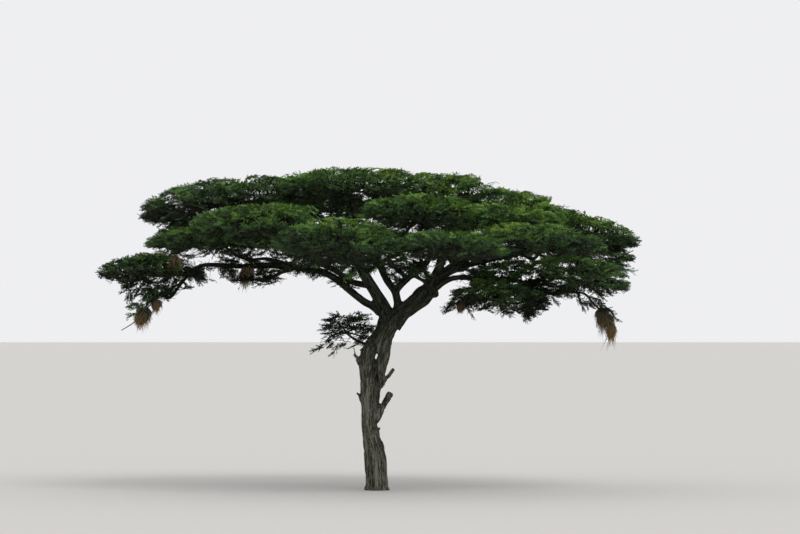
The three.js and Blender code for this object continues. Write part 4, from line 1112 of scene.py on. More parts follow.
def grain_of(points):
    """Where each point lies across and along its limb, and the limb's radius there."""
    samples = axis_samples()
    grain = np.empty((len(points), 3))
    radius = np.empty(len(points))
    for first in range(0, len(points), CHUNK):
        rows = slice(first, first + CHUNK)
        part = points[rows]
        gap = np.linalg.norm(part[:, None] - samples[None, :, :3], axis=2) / samples[None, :, 3]
        near = samples[np.argmin(gap, axis=1)]
        away = part - near[:, :3]
        for axis in range(3):
            direction = near[:, 4 + 3 * axis : 7 + 3 * axis]
            grain[rows, axis] = np.sum(away * direction, axis=1)
        grain[rows, 2] += near[:, 13]
        radius[rows] = near[:, 3]
    return grain, radius


# Relief carved in the skin: broad swells and two sets of furrows, each with its scales across
# and along the grain, its seed, the level that it starts at, the rest above it, and its depth
SWELL = {"scale": (2.6, 2.6, 1.1), "seed": 21, "depth": 0.035}
FURROWS = [((9, 9, 1.6), 3, 0.72, 0.28, 0.03), ((17, 17, 3.4), 8, 0.75, 0.25, 0.014)]
# Relief is in full on a limb of this radius, within these shares, and fades out at the foot
FULL_RELIEF = 0.36
RELIEF_RANGE = (0.22, 1.1)
FOOT = 0.06
# Torn wood at the broken stub: how far it reaches in tip radii, and how strong it is
TORN_REACH = 2.6
TORN_EDGE = 1.3
TORN_STRENGTH = 0.8
# The painted groove shade darkens the bark only this near to the middle of the trunk
GROOVE_HALF = 0.5


def torn_share(points):
    """How far each point is torn wood, most at the end of the broken stub."""
    _, tip, path = STUBS[BROKEN_STUB]
    away = np.linalg.norm(points - np.array(path[-1]), axis=1) / (TORN_REACH * tip)
    return np.clip(TORN_EDGE - away, 0, 1) * TORN_STRENGTH


def carve_bark(piece):
    """Carves the relief along the grain, and keeps the fields that the bark's look reads."""
    points = mesh_points(piece)
    normals = np.empty(len(points) * 3, dtype=np.float32)
    piece.data.vertex_normals.foreach_get("vector", normals)
    normals = normals.reshape(-1, 3).astype(float)
    grain, radius = grain_of(points)
    depth = SWELL["depth"] * (noise(grain * SWELL["scale"], SWELL["seed"]) - 0.5)
    for scale, seed, level, rest, deepest in FURROWS:
        line = 1 - np.abs(2 * noise(grain * scale, seed) - 1)
        depth = depth - deepest * np.clip(line - level, 0, 1) / rest
    share = np.clip(radius / FULL_RELIEF, *RELIEF_RANGE)
    foot = np.clip(points[:, 2] / FOOT, 0, 1)
    moved = points + normals * (depth * share * foot)[:, None]
    moved[:, 2] = np.maximum(moved[:, 2], 0)
    piece.data.vertices.foreach_set("co", moved.astype(np.float32).ravel())
    piece.data.update()
    grooves = sum(groove_share(groove, points[:, 0], points[:, 2]) for groove in GROOVES)
    keep_field(piece, "grain", grain)
    keep_field(piece, "broken", torn_share(points))
    # The share of painted groove shade at each point
    keep_field(piece, "groove", np.clip(grooves, 0, 1) * (np.abs(points[:, 0]) < GROOVE_HALF))
    smooth_shade(piece)


bark = wood_skin()
carve_bark(bark)
finish_piece(bark, bark_material("furrowed_bark", *TRUNK_BARK), {"trunk", *MAIN_LIMBS})

# Thin boughs: step along them, fewest rows, sides, small bends, swollen roots, knots with their
# scale and seed, and the grain's shift
THIN_STEP = 0.07
FEWEST_ROWS = 10
THIN_SIDES = 9
THIN_BEND = 0.09
THIN_COLLAR = (0.5, 0.12)
THIN_KNOTS = 0.16
KNOT_SCALE = 5
KNOT_SEED = 33
THIN_SHIFT = 3.1
thin_names = [*rule_boughs, *NEST_LIMBS]


def thin_boughs():
    """The boughs by rule and the nests' limbs, finer than the skin's grid."""
    points = []
    faces = []
    grains = []
    start = 0
    for name in thin_names:
        limb = limbs[name]
        rows = max(FEWEST_ROWS, int(limb.length / THIN_STEP))
        fractions = np.linspace(0, 1, rows)
        line = wobble(limb, limb.at(fractions), THIN_BEND)
        knots = 1 + THIN_KNOTS * (noise(line * KNOT_SCALE, KNOT_SEED) - 0.5)
        radii = limb.radius(fractions) * collar(limb, fractions, *THIN_COLLAR) * knots
        tube, tube_faces = open_tubes(line[None], radii[None], THIN_SIDES)
        run = np.repeat(fractions * limb.length, THIN_SIDES) + THIN_SHIFT * start
        angle = np.tile(np.arange(THIN_SIDES) / THIN_SIDES * TURN, rows)
        size = np.repeat(radii, THIN_SIDES)
        grains.append(np.stack([np.cos(angle) * size, np.sin(angle) * size, run], axis=-1))
        points.append(tube)
        faces.append(tube_faces + start)
        start += len(tube)
    piece = mesh_object("thin_boughs", np.vstack(points), np.vstack(faces))
    keep_field(piece, "grain", np.vstack(grains))
    smooth_shade(piece)
    return piece


finish_piece(thin_boughs(), bark_material("bough_bark", *BOUGH_BARK), thin_names)

# Foliage

AT = np.array([mass["at"] for mass in MASSES], dtype=float)
HALF = np.array([mass["half"] for mass in MASSES], dtype=float)
SLOPE = np.array([mass["slope"] for mass in MASSES], dtype=float)
OUT = unit(AT[:, :2])


def space_values(points):
    """For each mass and point: 0 in the mass's middle and 1 on its surface."""
    away = points[None] - AT[:, None]
    outward = away[..., 0] * OUT[:, None, 0] + away[..., 1] * OUT[:, None, 1]
    away[..., 2] += SLOPE[:, None] * outward
    return np.sum((away / HALF[:, None]) ** 2, axis=2)


def own_space(number, points, limit=SPACE_LIMIT, share=SPACE_SHARE):
    """Whether each point is in the mass's own space, and nearer to it than to others."""
    values = space_values(points)
    own = values[number].copy()
    values[number] = np.inf
    return (own <= limit) & (values.min(axis=0) > own * share)


def space_point(number, heading, share, lift):
    """Points of a mass's space, by heading, share of the way out and level."""
    heading, share, lift = np.broadcast_arrays(heading, share, lift)
    dx = np.cos(heading) * share * HALF[number, 0]
    dy = np.sin(heading) * share * HALF[number, 1]
    slope = SLOPE[number] * (dx * OUT[number, 0] + dy * OUT[number, 1])
    dz = lift * HALF[number, 2] - slope
    return AT[number] + np.stack([dx, dy, dz], axis=-1)


def stem_line(number):
    """The mass's stem, from one gap beyond its bough's tip to its hub."""
    mass = MASSES[number]
    hub = space_point(number, 0, 0, HUB_LIFT)
    if "stem" in mass:
        foot = np.array(mass["stem"], dtype=float)
        heading = unit((hub - foot) * (1, 1, 0))
    else:
        limb = limbs[mass.get("limb", mass["name"] + "_bough")]
        heading = limb.end_direction()
        foot = limb.at(1.0) + heading * GAP
    bend = foot + heading * np.linalg.norm(hub - foot) * STEM_BEND
    t = np.linspace(0, 1, STEM_ROWS)[:, None]
    line = foot * (1 - t) ** 2 + bend * 2 * t * (1 - t) + hub * t**2
    return line, STEM_RADIUS * (1 - STEM_TAPER * t[:, 0])


def curved(start, end, sag, rows):
    """Lines from starts to ends that bow by sag on the way: (m, rows, 3)."""
    t = np.linspace(0, 1, rows)[None, :, None]
    bow = (4 * t * (1 - t)) * sag[:, None]
    return start[:, None] * (1 - t) + end[:, None] * t + bow


def arms_of(number):
    """Arms and side twigs of a mass, by the solids' rule: starts, ends and radii."""
    mass = MASSES[number]
    draw = seeded_random(MASS_SEED + number)
    spacing = TURN / mass["arms"]
    first = draw() * TURN
    hub = space_point(number, 0, 0, HUB_LIFT)
    lift_range = OPEN_LIFT if mass["name"] in OPEN_LOWEST else DENSE_LIFT
    rows = []
    for i in range(mass["arms"]):
        heading = first + (i + (draw() - 0.5) * ARM_JITTER) * spacing
        tip = space_point(number, heading, ARM_REACH, (draw() - 0.5) * lift_range)
        rows.append((hub, tip, *ARM_RADIUS))
        # Two draws for each of the arm's three leaves
        for _ in range(6):
            draw()
        side_lift = SIDE_LIFT + SIDE_SPREAD * draw()
        side_tip = space_point(number, heading + SIDE_TURN * spacing, SIDE_SHARE, side_lift)
        rows.append((hub + (tip - hub) * SIDE_FROM, side_tip, *SIDE_RADIUS))
        for _ in range(4 if i % 2 == 0 else 2):
            draw()
    return rows


def fan_rows(*columns):
    return np.stack(np.broadcast_arrays(*columns), axis=-1)


def fans_of(number, rng):
    """Fans of a mass: heading, share of the way out, level, number of shoots and tilt."""
    name = MASSES[number]["name"]
    a, b, _ = HALF[number]
    area = math.pi * a * b
    if name in OPEN_LOWEST:
        count = int(area * OPEN_FANS_PER_AREA)
        heading = rng.uniform(0, TURN, count)
        share = np.sqrt(rng.uniform(0, 1, count)) * FAN_REACH
        lift = rng.uniform(OPEN_LOWEST[name], OPEN_HIGHEST, count) * np.sqrt(1 - share**2)
        return fan_rows(heading, share, lift, OPEN_SHOOTS, OPEN_TILT * lift)
    density = FANS_PER_AREA * max(1, SMALL_MASS / (a * b)) ** SMALL_MASS_GAIN
    rows = []
    for part, level, spread, shoots, tilt in FAN_LAYERS:
        count = int(area * density * part)
        k = np.arange(count)
        heading = k * GOLDEN + rng.uniform(0, TURN)
        share = np.sqrt((k + 0.5) / count) * FAN_REACH + rng.normal(0, FAN_STRAY, count)
        dome = np.sqrt(np.clip(1 - share**2, 0.02, 1))
        lift = (level + rng.uniform(-spread, spread, count)) * dome
        rows.append(fan_rows(heading, share, lift, shoots, tilt))
    count = int(TURN * math.sqrt((a * a + b * b) / 2) / RIM_SPACING)
    heading = np.arange(count) / count * TURN + rng.normal(0, RIM_STRAY, count)
    share = rng.uniform(*RIM_SHARE, count)
    lift = rng.uniform(*RIM_LEVEL, count)
    rows.append(fan_rows(heading, share, lift, RIM_SHOOTS, RIM_TILT * lift))
    return np.vstack(rows)


def folded_leaf(base, way, length):
    """Base, side, tip and side of a leaf that is folded along its middle."""
    flat = unit(np.cross(way, UP))
    half = length * LEAF_WIDTH / 2
    middle = base + way * length * LEAF_WIDEST
    raised = np.cross(flat, way) * half * LEAF_FOLD
    return [base, middle - flat * half + raised, base + way * length, middle + flat * half + raised]


def leaf_templates(rng):
    """Shoots of small folded leaves round a unit line: points (shapes, leaves, 4, 3)."""
    made = []
    for _ in range(SHOOT_SHAPES):
        leaves = []
        for pair in range(LEAF_PAIRS):
            t = LEAF_FIRST + LEAF_RUN * pair / (LEAF_PAIRS - 1)
            for side in (-1, 1):
                spread = LEAF_SPREAD * rng.uniform(*LEAF_SPREAD_RANGE)
                roll = rng.uniform(-LEAF_ROLL, LEAF_ROLL)
                across = side * math.sin(spread) * math.cos(roll)
                way = np.array([math.cos(spread), across, math.sin(spread) * math.sin(roll)])
                length = LEAF_LENGTH * (1 - LEAF_LENGTH_LOSS * t)
                length = length * rng.uniform(*LEAF_LENGTH_RANGE)
                leaves.append(folded_leaf(np.array([t, 0, 0]), unit(way), length))
        leaves.append(folded_leaf(np.array([LEAF_RUN, 0, 0]), np.array([1.0, 0, 0]), END_LEAF))
        made.append(leaves)
    return np.array(made)


class Gather:
    """Collects triangles of one kind and makes a new piece whenever one is full."""

    def __init__(self, name, material, slot):
        self.name = name
        self.material = material
        self.slot = slot
        self.count = 0
        self.reset()

    def reset(self):
        self.points = []
        self.faces = []
        self.nodes = set()
        self.start = 0
        self.triangles = 0

    def add(self, points, faces, node):
        if self.triangles + len(faces) > PIECE_LIMIT:
            self.close()
        self.points.append(points)
        self.faces.append(faces + self.start)
        self.nodes.add(node)
        self.start += len(points)
        self.triangles += len(faces)

    def close(self):
        if not self.points:
            return
        self.count += 1
        piece = mesh_object(f"{self.name}_{self.count}", np.vstack(self.points), np.vstack(self.faces))
        finish_piece(piece, self.material, self.nodes)
        self.reset()


# Leaves in lit and shaded copies, as painted light, brightest first: dark and light green, roughness,
# and the slot each belongs to
LEAF_TONES = {
    "fresh": ((0.083, 0.147, 0.026), (0.175, 0.305, 0.054), 0.7, "foliage_lit"),
    "lit": ((0.047, 0.099, 0.025), (0.115, 0.228, 0.056), 0.72, "foliage_lit"),
    "shaded": ((0.026, 0.049, 0.022), (0.071, 0.132, 0.052), 0.75, "foliage_shaded"),
    "deep": ((0.014, 0.018, 0.011), (0.036, 0.048, 0.027), 0.8, "foliage_shaded"),
}
LEAF_FACES = np.array([[0, 1, 2], [0, 2, 3]])
leaf_pieces = []
for kind, (dark, light, roughness, slot) in LEAF_TONES.items():
    leaf_look = leaf_material(kind + "_leaves", dark, light, roughness)
    leaf_pieces.append(Gather("leaves_" + kind, leaf_look, slot))
twig_pieces = Gather("twigs", bark_material("twig_bark", *TWIG_BARK), "limb_bark")
templates = leaf_templates(np.random.default_rng(LEAF_DRAWS))
# Points along the arms of each mass that finer twigs may start from
arm_holds = {}


def directions(heading, tilt):
    flat = np.cos(tilt)
    return np.stack([np.cos(heading) * flat, np.sin(heading) * flat, np.sin(tilt)], axis=-1)


def in_ellipse(points, x, z, half_x, half_z):
    """Whether each point is in an ellipse, as seen from the front."""
    return ((points[:, 0] - x) / half_x) ** 2 + ((points[:, 2] - z) / half_z) ** 2 < 1


def in_gap(points):
    """Whether each point is in a gap through the crown."""
    inside = np.zeros(len(points), dtype=bool)
    for gap in GAPS:
        inside |= in_ellipse(points, *gap)
    return inside


def in_the_way(points):
    """Whether each point is in a gap or would hide a nest from the front."""
    hidden = in_gap(points)
    for _, at, half, _, view, _ in NESTS:
        before = points[:, 1] - at[1] < NEST_BEHIND
        hidden |= in_ellipse(points, at[0], at[2], view * half[0], view * half[2]) & before
    return hidden


def add_shoots(node, starts, ways, lengths, light, rng):
    """Leafy shoots: their twigs, and their leaves by painted light."""
    ends = starts + ways * lengths[:, None] * SHOOT_TESTED
    clear = ~(in_the_way(ends) | in_the_way(starts))
    starts, ways, lengths, light = starts[clear], ways[clear], lengths[clear], light[clear]
    count = len(starts)
    if count == 0:
        return
    # Every other shoot shows its twig between its leaves
    tips = starts + ways * lengths[:, None] * SHOOT_TWIG_END
    twig_pieces.add(*spikes(starts[::2], tips[::2], SHOOT_TWIG), node)
    roll = rng.uniform(0, TURN, count)[:, None]
    side = unit(np.cross(ways, UP))
    side = side * np.cos(roll) + np.cross(side, ways) * np.sin(roll)
    shape = templates[rng.integers(0, len(templates), count)]
    size = lengths[:, None, None, None]
    points = starts[:, None, None]
    for axis, way in enumerate((ways, side, np.cross(side, ways))):
        points = points + shape[..., axis, None] * way[:, None, None] * size
    # The kind in the deepest painted shade comes last
    kinds = len(LIGHT_STEPS) - np.digitize(light, LIGHT_STEPS)
    for kind in reversed(range(len(leaf_pieces))):
        chosen = points[kinds == kind].reshape(-1, 3)
        if len(chosen):
            leaf_pieces[kind].add(chosen, copies(LEAF_FACES, len(chosen) // 4, 4), node)


def add_branches(node, starts, ends, rng, width=TWIG_WIDTH):
    """Bent twigs from starts to ends."""
    bow = rng.normal(0, TWIG_BOW, ends.shape)
    bow[:, 2] -= TWIG_SAG
    branches = curved(starts, ends, bow, len(TWIG_TAPER))
    widths = np.repeat(np.array([TWIG_TAPER]) * width, len(branches), axis=0)
    twig_pieces.add(*open_tubes(branches, widths, 3), node)


def fan_shoots(middles, headings, tilts, counts, sizes, lengths, rng):
    """Shoots along both sides of each fan's line: starts, ways, lengths and their fans."""
    owner = np.repeat(np.arange(len(middles)), counts)
    total = len(owner)
    first = np.concatenate([[0], np.cumsum(counts)[:-1]])
    place = np.arange(total) - first[owner]
    along = (place + rng.uniform(0, 1, total)) / counts[owner]
    line = directions(headings, tilts)
    starts = middles[owner] + line[owner] * ((along - FAN_BACK) * sizes[owner])[:, None]
    # The line bows down towards its tip
    starts[:, 2] -= FAN_BOW * sizes[owner] * along**2
    sides = np.where(place % 2 == 0, 1, -1)
    strays = rng.uniform(*SHOOT_TURN_SPREAD, total)
    turns = sides * SHOOT_TURN * (1 - SHOOT_TURN_LOSS * along) * strays
    rise = tilts[owner] + SHOOT_LIFT * (1 - along) + rng.normal(0, SHOOT_LIFT_SPREAD, total)
    ways = directions(headings[owner] + turns, rise)
    return starts, ways, rng.uniform(*lengths, total) * (1 - SHOOT_LENGTH_LOSS * along), owner


def nearest_of(points, ends):
    """The one of the points that is nearest to each end."""
    gap = np.linalg.norm(ends[:, None] - points[None], axis=2)
    return points[np.argmin(gap, axis=1)]


def grow_arms(number, rng):
    """A mass's stem, arms and side twigs; finer twigs may start from the points kept here."""
    name = MASSES[number]["name"]
    stem, stem_radii = stem_line(number)
    twig_pieces.add(*open_tubes(stem[None], stem_radii[None], 6), name)
    starts, ends, roots, tips = (np.array(column) for column in zip(*arms_of(number)))
    lines = curved(starts, ends, rng.normal(0, ARM_BOW, (len(starts), 3)), ARM_ROWS)
    radii = roots[:, None] + (tips - roots)[:, None] * np.linspace(0, 1, ARM_ROWS)
    twig_pieces.add(*open_tubes(lines, radii, ARM_SIDES), name)
    arm_holds[name] = lines[:, 1:].reshape(-1, 3)


def grow_fans(number, rng):
    """The fans' twigs; gives each fan's middle, heading, tilt, number of shoots and length."""
    name = MASSES[number]["name"]
    fans = fans_of(number, rng)
    middles = space_point(number, fans[:, 0], fans[:, 1], fans[:, 2])
    inside = own_space(number, middles, share=ROOT_SHARE)
    fans, middles = fans[inside], middles[inside]
    count = len(fans)
    # Fans point outward, and any way in the middle of the mass
    loose = FAN_TURN + INNER_TURN * np.clip(INNER_SHARE - fans[:, 1], 0, 1)
    headings = fans[:, 0] + rng.normal(0, 1, count) * loose
    tilts = fans[:, 4] + rng.normal(0, FAN_TILT_SPREAD, count)
    sizes = rng.uniform(*FAN_LENGTH, count) * (OPEN_FAN if name in OPEN_LOWEST else 1)
    ways = directions(headings, tilts)
    roots = middles - ways * (FAN_BACK * sizes)[:, None]
    add_branches(name, nearest_of(arm_holds[name], roots), roots, rng)
    tips = middles + ways * ((1 - FAN_BACK) * sizes)[:, None]
    outside = ~own_space(number, tips, FAN_LIMIT) | in_gap(tips)
    tips[outside] = roots[outside] + (tips[outside] - roots[outside]) * SHORT_FAN
    add_branches(name, roots, tips, rng, THIN_TWIG)
    return middles, headings, tilts, fans[:, 3].astype(int), sizes


def shoot_light(number, tips, middles, owner, rng):
    """How brightly lit each shoot is painted: more so high on its fan, in its mass and in the tree."""
    height = (tips[:, 2] - AT[number, 2]) / HALF[number, 2]
    fan_height = (tips[:, 2] - middles[owner, 2]) / FAN_HEIGHT
    light = HEIGHT_LIGHT * height + FAN_LIGHT * fan_height
    light = light + TREE_LIGHT * (AT[number, 2] - TREE_LEVEL) + SIDE_LIGHT * tips[:, 0]
    light += PATCH_LIGHT * (noise(tips * PATCH_SCALE, PATCH_SEED) - 0.5)
    fan_stray = rng.normal(0, FAN_STRAY_LIGHT, len(middles))[owner]
    light += fan_stray + rng.normal(0, SHOOT_STRAY_LIGHT, len(owner))
    return light + MASS_LIGHT.get(MASSES[number]["name"], 0)


def grow_mass(number):
    """One mass: its arms, its fans of leafy shoots, and bare twigs below."""
    name = MASSES[number]["name"]
    rng = np.random.default_rng(MASS_DRAWS + number)
    grow_arms(number, rng)
    fans = grow_fans(number, rng)
    lengths = np.array(SHOOT_LENGTH) * (OPEN_SHOOT if name in OPEN_LOWEST else 1)
    starts, ways, reach, owner = fan_shoots(*fans, lengths, rng)
    tips = starts + ways * reach[:, None]
    fits = own_space(number, tips)
    short = ~fits
    reach[short] *= SHORT_SHOOT
    tips[short] = starts[short] + ways[short] * reach[short, None]
    fits[short] = own_space(number, tips[short])
    light = shoot_light(number, tips, fans[0], owner, rng)
    add_shoots(name, starts[fits], ways[fits], reach[fits], light[fits], rng)
    add_bare_twigs(number, rng)


def add_bare_twigs(number, rng):
    """Leafless twigs that cross below a mass's leaves."""
    name = MASSES[number]["name"]
    count = int(math.pi * HALF[number, 0] * HALF[number, 1] * BARE_TWIGS)
    heading = rng.uniform(0, TURN, count)
    share = np.sqrt(rng.uniform(0, 1, count)) * BARE_REACH
    lift = rng.uniform(*BARE_LEVEL, count) * np.sqrt(1 - share**2)
    starts = space_point(number, heading, share, lift)
    ways = directions(heading + rng.normal(0, BARE_TURN, count), rng.normal(*BARE_TILT, count))
    ends = starts + ways * rng.uniform(*BARE_LENGTH, (count, 1))
    fits = own_space(number, starts, share=ROOT_SHARE) & own_space(number, ends)
    fits &= ~(in_the_way(starts) | in_the_way(ends))
    if name in OPEN_LOWEST:
        add_branches(name, starts[fits], ends[fits], rng, THIN_TWIG)
    else:
        twig_pieces.add(*spikes(starts[fits], ends[fits], THIN_TWIG), name)


def add_small_fans(node, holds, middles, headings, tilt, style, painted_light, rng):
    """Small leafy fans about their middles, on twigs from the holds."""
    twig, heading_stray, tilt_stray, fan_length, shoot_length, light_stray = style
    count = len(middles)
    add_branches(node, holds, middles, rng, twig)
    headings = headings + rng.normal(0, heading_stray, count)
    tilts = rng.normal(tilt, tilt_stray, count)
    counts = np.full(count, SMALL_FAN_SHOOTS)
    sizes = rng.uniform(*fan_length, count)
    shoots = fan_shoots(middles, headings, tilts, counts, sizes, shoot_length, rng)
    light = painted_light + rng.normal(0, light_stray, len(shoots[0]))
    add_shoots(node, *shoots[:3], light, rng)


def grow_limb_sprays(limb_name, first, last, per_metre, stand, hang, painted_light, rng):
    """Small leafy twigs along part of a limb, as part of the mass nearest to them."""
    limb = limbs[limb_name]
    count = max(2, int(limb.length * (last - first) * per_metre))
    fractions = first + (last - first) * (np.arange(count) + rng.uniform(0, 1, count)) / count
    starts = limb.at(fractions)
    offset = unit(rng.normal(0, 1, (count, 3))) * rng.uniform(*SPRAY_STAND, (count, 1)) * stand
    offset[:, 2] = offset[:, 2] * SPRAY_FLATNESS - hang
    middles = starts + offset
    node = MASSES[int(np.argmin(space_values(middles.mean(axis=0)[None])[:, 0]))]["name"]
    headings = np.arctan2(offset[:, 1], offset[:, 0])
    tilt = SPRAY_TILT - hang
    add_small_fans(node, starts, middles, headings, tilt, LIMB_FAN, painted_light, rng)


def grow_tuft(at, spread, twigs, tilt, heading, painted_light, node, rng):
    """A tuft of leaves on twigs of its own, from the nearest limb or arm."""
    middles = np.array(at) + rng.normal(0, 1, (twigs, 3)) * spread * TUFT_CLOSENESS
    on_stem = any(row[0] == node for row in STEM_MASSES)
    holds = arm_holds[node] if on_stem else np.vstack([arm_holds[node], *limb_holds])
    nearest = nearest_of(holds, middles)
    add_small_fans(node, nearest, middles, heading, tilt, TUFT_FAN, painted_light, rng)


limb_holds = [limb.at(np.linspace(*HOLD_SPAN)) for limb in limbs.values()]
for number in range(len(MASSES)):
    grow_mass(number)
limb_rng = np.random.default_rng(LIMB_DRAWS)
for row in LIMB_SPRAYS:
    grow_limb_sprays(*row, limb_rng)
for name in rule_boughs:
    grow_limb_sprays(name, *RULE_BOUGH_SPRAYS, limb_rng)
tuft_rng = np.random.default_rng(TUFT_DRAWS)
for row in TUFTS:
    grow_tuft(*row, tuft_rng)
for gather in (*leaf_pieces, twig_pieces):
    gather.close()

# Nests of woven grass

# Lobes of a nest's bag, as shares of its half sizes: middle and size. A nest is tall from this
# half height on, and a lower one has fewer straws.
TALL_NEST = 0.4
NEST_LOBES = [
    ((-0.8, 0, 0.72), (1.05, 0.9, 0.42)),
    ((-0.4, 0, 0.25), (1.25, 1.0, 0.5)),
    ((0.4, 0, -0.42), (0.68, 0.7, 0.52)),
]
SMALL_NEST_LOBES = [((0.12, 0, 0.2), (0.85, 0.85, 0.72)), ((-0.25, 0, -0.22), (0.68, 0.7, 0.66))]
# The bag under the straws: its size and how far broad and fine bumps raise it
BAG_SIZE = 0.86
BAG_BUMPS = (0.5, 0.3)
BUMP_SCALES = (2.3, 6)
# The ball that a lobe's bag starts from
BAG_ROWS = 18
BAG_SIDES = 24
# The bag's dark tones are painted shade under and between the straws
BAG_SHADE_TONES = ((0.014, 0.01, 0.006), (0.06, 0.042, 0.02))
# Straws: how many, their radius along them, their length in half heights, how far their ends
# stand off and how few stand far, the share that hang loose, and the stray of their colour's level
STRAW_COUNT = 520
STRAW_WIDTH = (0.0055, 0.0065, 0.002)
STRAW_LENGTH = (0.4, 1.1)
STRAW_STAND = 0.42
STAND_POWER = 1.5
LOOSE_SHARE = 0.16
LEVEL_STRAY = 0.35
# Surface of a lobe that straws lie on, how far they stray from straight down, the shares of
# their length above and below their middle, how they bulge, and how far standing ends droop
LOBE_SURFACE = (0.88, 0.24)
STRAW_STRAY = 0.4
STRAW_PARTS = (0.5, 0.6)
STRAW_BULGE = 0.07
STRAW_DROOP = 1.4
# Loose straws: where they start, how they sway and bend, and how far they drop
LOOSE_ROOT = 0.75
LOOSE_HIGHEST = -0.1
LOOSE_SWAY = 0.2
LOOSE_BEND = 0.02
LOOSE_DROP = (0.5, 1.0)
LOOSE_EXTRA = 0.25
NEST_SEED = 60
# Grass by kind: material, dark and light colour
GRASS_TONES = {
    "rust": ("rust_grass", (0.085, 0.05, 0.015), (0.31, 0.175, 0.052)),
    "tan": ("dry_grass", (0.065, 0.05, 0.024), (0.28, 0.21, 0.105)),
    # Dark grass, used high on a nest
    "dark": ("old_grass", (0.034, 0.034, 0.017), (0.12, 0.11, 0.054)),
    # Pale grass is painted light on nests in the crown's shade
    "pale": ("pale_grass", (0.2, 0.155, 0.08), (0.6, 0.47, 0.26)),
}


def nest_bag(at, half, lobe, seed):
    """The body of a lobe, painted dark as shade under its straws, with bumps, as triangles."""
    points, faces = ball((0, 0, 0), (1, 1, 1), BAG_ROWS, BAG_SIDES)
    bumps = 1
    for number, (size, scale) in enumerate(zip(BAG_BUMPS, BUMP_SCALES)):
        bumps = bumps + size * (noise(points * scale + seed, seed + number) - 0.5)
    middle, size = lobe
    points = points * bumps[:, None] * BAG_SIZE * size * half + middle * half + at
    quads = np.array([f for f in faces if len(f) == 4])
    return points, np.vstack([quads[:, [0, 1, 2]], quads[:, [0, 2, 3]]])


def nest_straws(half, hang, lobe, seed, count):
    """Blades of grass wrapped round a lobe, most of them hanging, with their lower ends loose."""
    rng = np.random.default_rng(seed)
    middle, size = lobe
    polar = np.arccos(rng.uniform(-1, 1, count))
    out = on_sphere(polar, rng.uniform(0, TURN, count))
    bumps = noise(out * BUMP_SCALES[0] + seed, seed)[:, None] - 0.5
    surface = out * size * half * (LOBE_SURFACE[0] + LOBE_SURFACE[1] * bumps)
    normal = unit(out / half)
    down = unit(np.cross(np.cross(normal, -UP), normal) + rng.normal(0, STRAW_STRAY, (count, 3)))
    length = rng.uniform(*STRAW_LENGTH, count)[:, None] * half[2] * size[2]
    stand = rng.uniform(0.0, STRAW_STAND, count)[:, None] ** STAND_POWER * half[0]
    start = surface - down * length * STRAW_PARTS[0]
    bend = surface + normal * half[0] * STRAW_BULGE
    end = surface + down * length * STRAW_PARTS[1] + normal * stand - UP * stand * STRAW_DROOP
    # The first few hang loose from low in the lobe
    loose = int(count * LOOSE_SHARE)
    root = surface[:loose] * LOOSE_ROOT
    root[:, 2] = np.minimum(root[:, 2], LOOSE_HIGHEST * half[2])
    way = -UP + rng.normal(0, LOOSE_SWAY, (loose, 3))
    drop = rng.uniform(*LOOSE_DROP, loose)[:, None] * (hang + half[2] * LOOSE_EXTRA)
    start[:loose] = root
    end[:loose] = root + way * drop
    bend[:loose] = (root + end[:loose]) / 2 + rng.normal(0, LOOSE_BEND, (loose, 3))
    lines = np.stack([start, bend, end], axis=1) + middle * half
    lines[..., 2] = np.maximum(lines[..., 2], -half[2] - hang)
    return lines, lines[:, 1, 2] / half[2] + rng.normal(0, LEVEL_STRAY, count)


straw_pieces = {}
for kind, tones in GRASS_TONES.items():
    straw_pieces[kind] = Gather("straws_" + kind, straw_material(*tones), "straw")
bags = Gather("nest_bags", straw_material("nest_core", *BAG_SHADE_TONES), "straw")
for number, (node, at, half, hang, _, grass) in enumerate(NESTS):
    at, half = np.array(at), np.array(half)
    lobes = NEST_LOBES if half[2] > TALL_NEST else SMALL_NEST_LOBES
    for turn, lobe in enumerate(np.array(lobes)):
        seed = NEST_SEED + 10 * number + turn
        bags.add(*nest_bag(at, half, lobe, seed), node)
        count = int(STRAW_COUNT * (lobe[1, 2] * min(1, half[2] / TALL_NEST)))
        lines, levels = nest_straws(half, hang, lobe, seed, count)
        kinds = np.digitize(levels, grass["levels"])
        for kind, key in enumerate(grass["kinds"]):
            chosen = lines[kinds == kind] + at
            widths = np.repeat(np.array([STRAW_WIDTH]), len(chosen), axis=0)
            straw_pieces[key].add(*open_tubes(chosen, widths, 3), node)
for gather in (bags, *straw_pieces.values()):
    gather.close()

# Ground, light and camera

FLOOR_SIDES = 64
FLOOR_RINGS = np.array([4, 30, 250, 2500, 60000])
# The floor lies this far below the flat cut of the trunk
FLOOR_LEVEL = -0.002
FLOOR_COLOUR = (0.56, 0.55, 0.53)
FLOOR_ROUGHNESS = 0.9
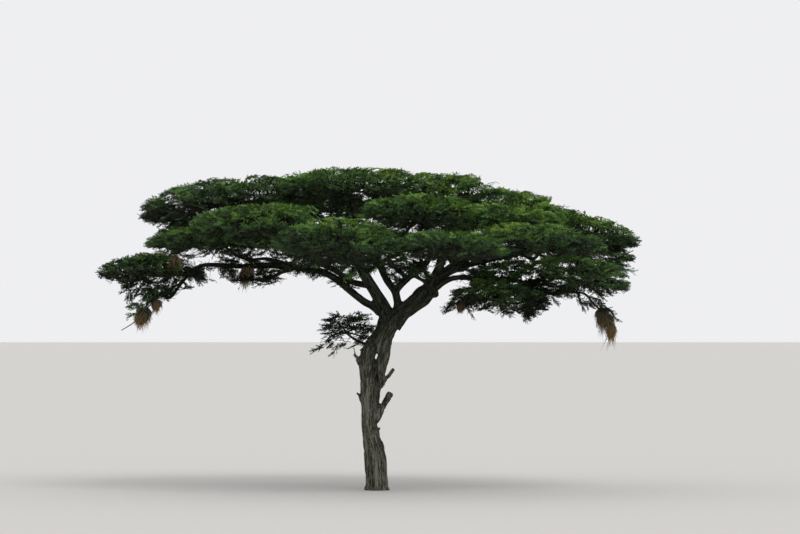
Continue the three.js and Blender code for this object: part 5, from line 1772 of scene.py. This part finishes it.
# The floor's specks are darker by this factor
SPECK_TONE = 0.97
SKY_COLOUR = (0.86, 0.862, 0.885, 1)
SUN = {"energy": 1.3, "angle": math.radians(35), "color": (1.0, 0.97, 0.9)}
SUN_TURN = (math.radians(38), math.radians(24), 0)
# A far camera with a long lens, tilted up by little more than a degree
CAMERA = {"sensor_width": 36, "lens": 158.8, "clip_end": 90000}
CAMERA_PLACE = (0.782, -120, 5.03)
CAMERA_TURN = (math.radians(90 + 1.217), 0, 0)


def make_floor():
    """Rings of floor, small ones near the tree and large ones out to the horizon."""
    angle = np.arange(FLOOR_SIDES) / FLOOR_SIDES * TURN
    ring = np.stack([np.cos(angle), np.sin(angle), 0 * angle], axis=-1)
    points = (ring[None] * FLOOR_RINGS[:, None, None]).reshape(-1, 3)
    points[:, 2] = FLOOR_LEVEL
    faces = [tuple(f) for f in grid_faces(len(FLOOR_RINGS), FLOOR_SIDES)[:, ::-1]]
    faces.append(tuple(range(FLOOR_SIDES)))
    floor = mesh_object("floor", points, faces)
    look = Look("pale_floor", FLOOR_ROUGHNESS)
    speck = look.noise(look.place(), 2.0, 3.0)
    dark = [SPECK_TONE * v for v in FLOOR_COLOUR]
    tone = look.ramp(speck, (0.3, *dark), (0.7, *FLOOR_COLOUR))
    look.put(tone, look.inputs["Base Color"])
    floor.data.materials.append(look.material)


def place_object(name, data, settings, turn):
    """Puts a light or camera in the scene, with its settings."""
    for key, value in settings.items():
        setattr(data, key, value)
    made = bpy.data.objects.new(name, data)
    made.rotation_euler = turn
    bpy.context.scene.collection.objects.link(made)
    return made


make_floor()
world = bpy.data.worlds.new("pale_sky")
bpy.context.scene.world = world
world.use_nodes = True
background = world.node_tree.nodes["Background"]
background.inputs["Color"].default_value = SKY_COLOUR
background.inputs["Strength"].default_value = 1.0
place_object("soft_sun", bpy.data.lights.new("soft_sun", "SUN"), SUN, SUN_TURN)
camera = place_object("camera", bpy.data.cameras.new("camera"), CAMERA, CAMERA_TURN)
camera.location = CAMERA_PLACE
bpy.context.scene.camera = camera
bpy.context.scene.view_settings.view_transform = "Standard"
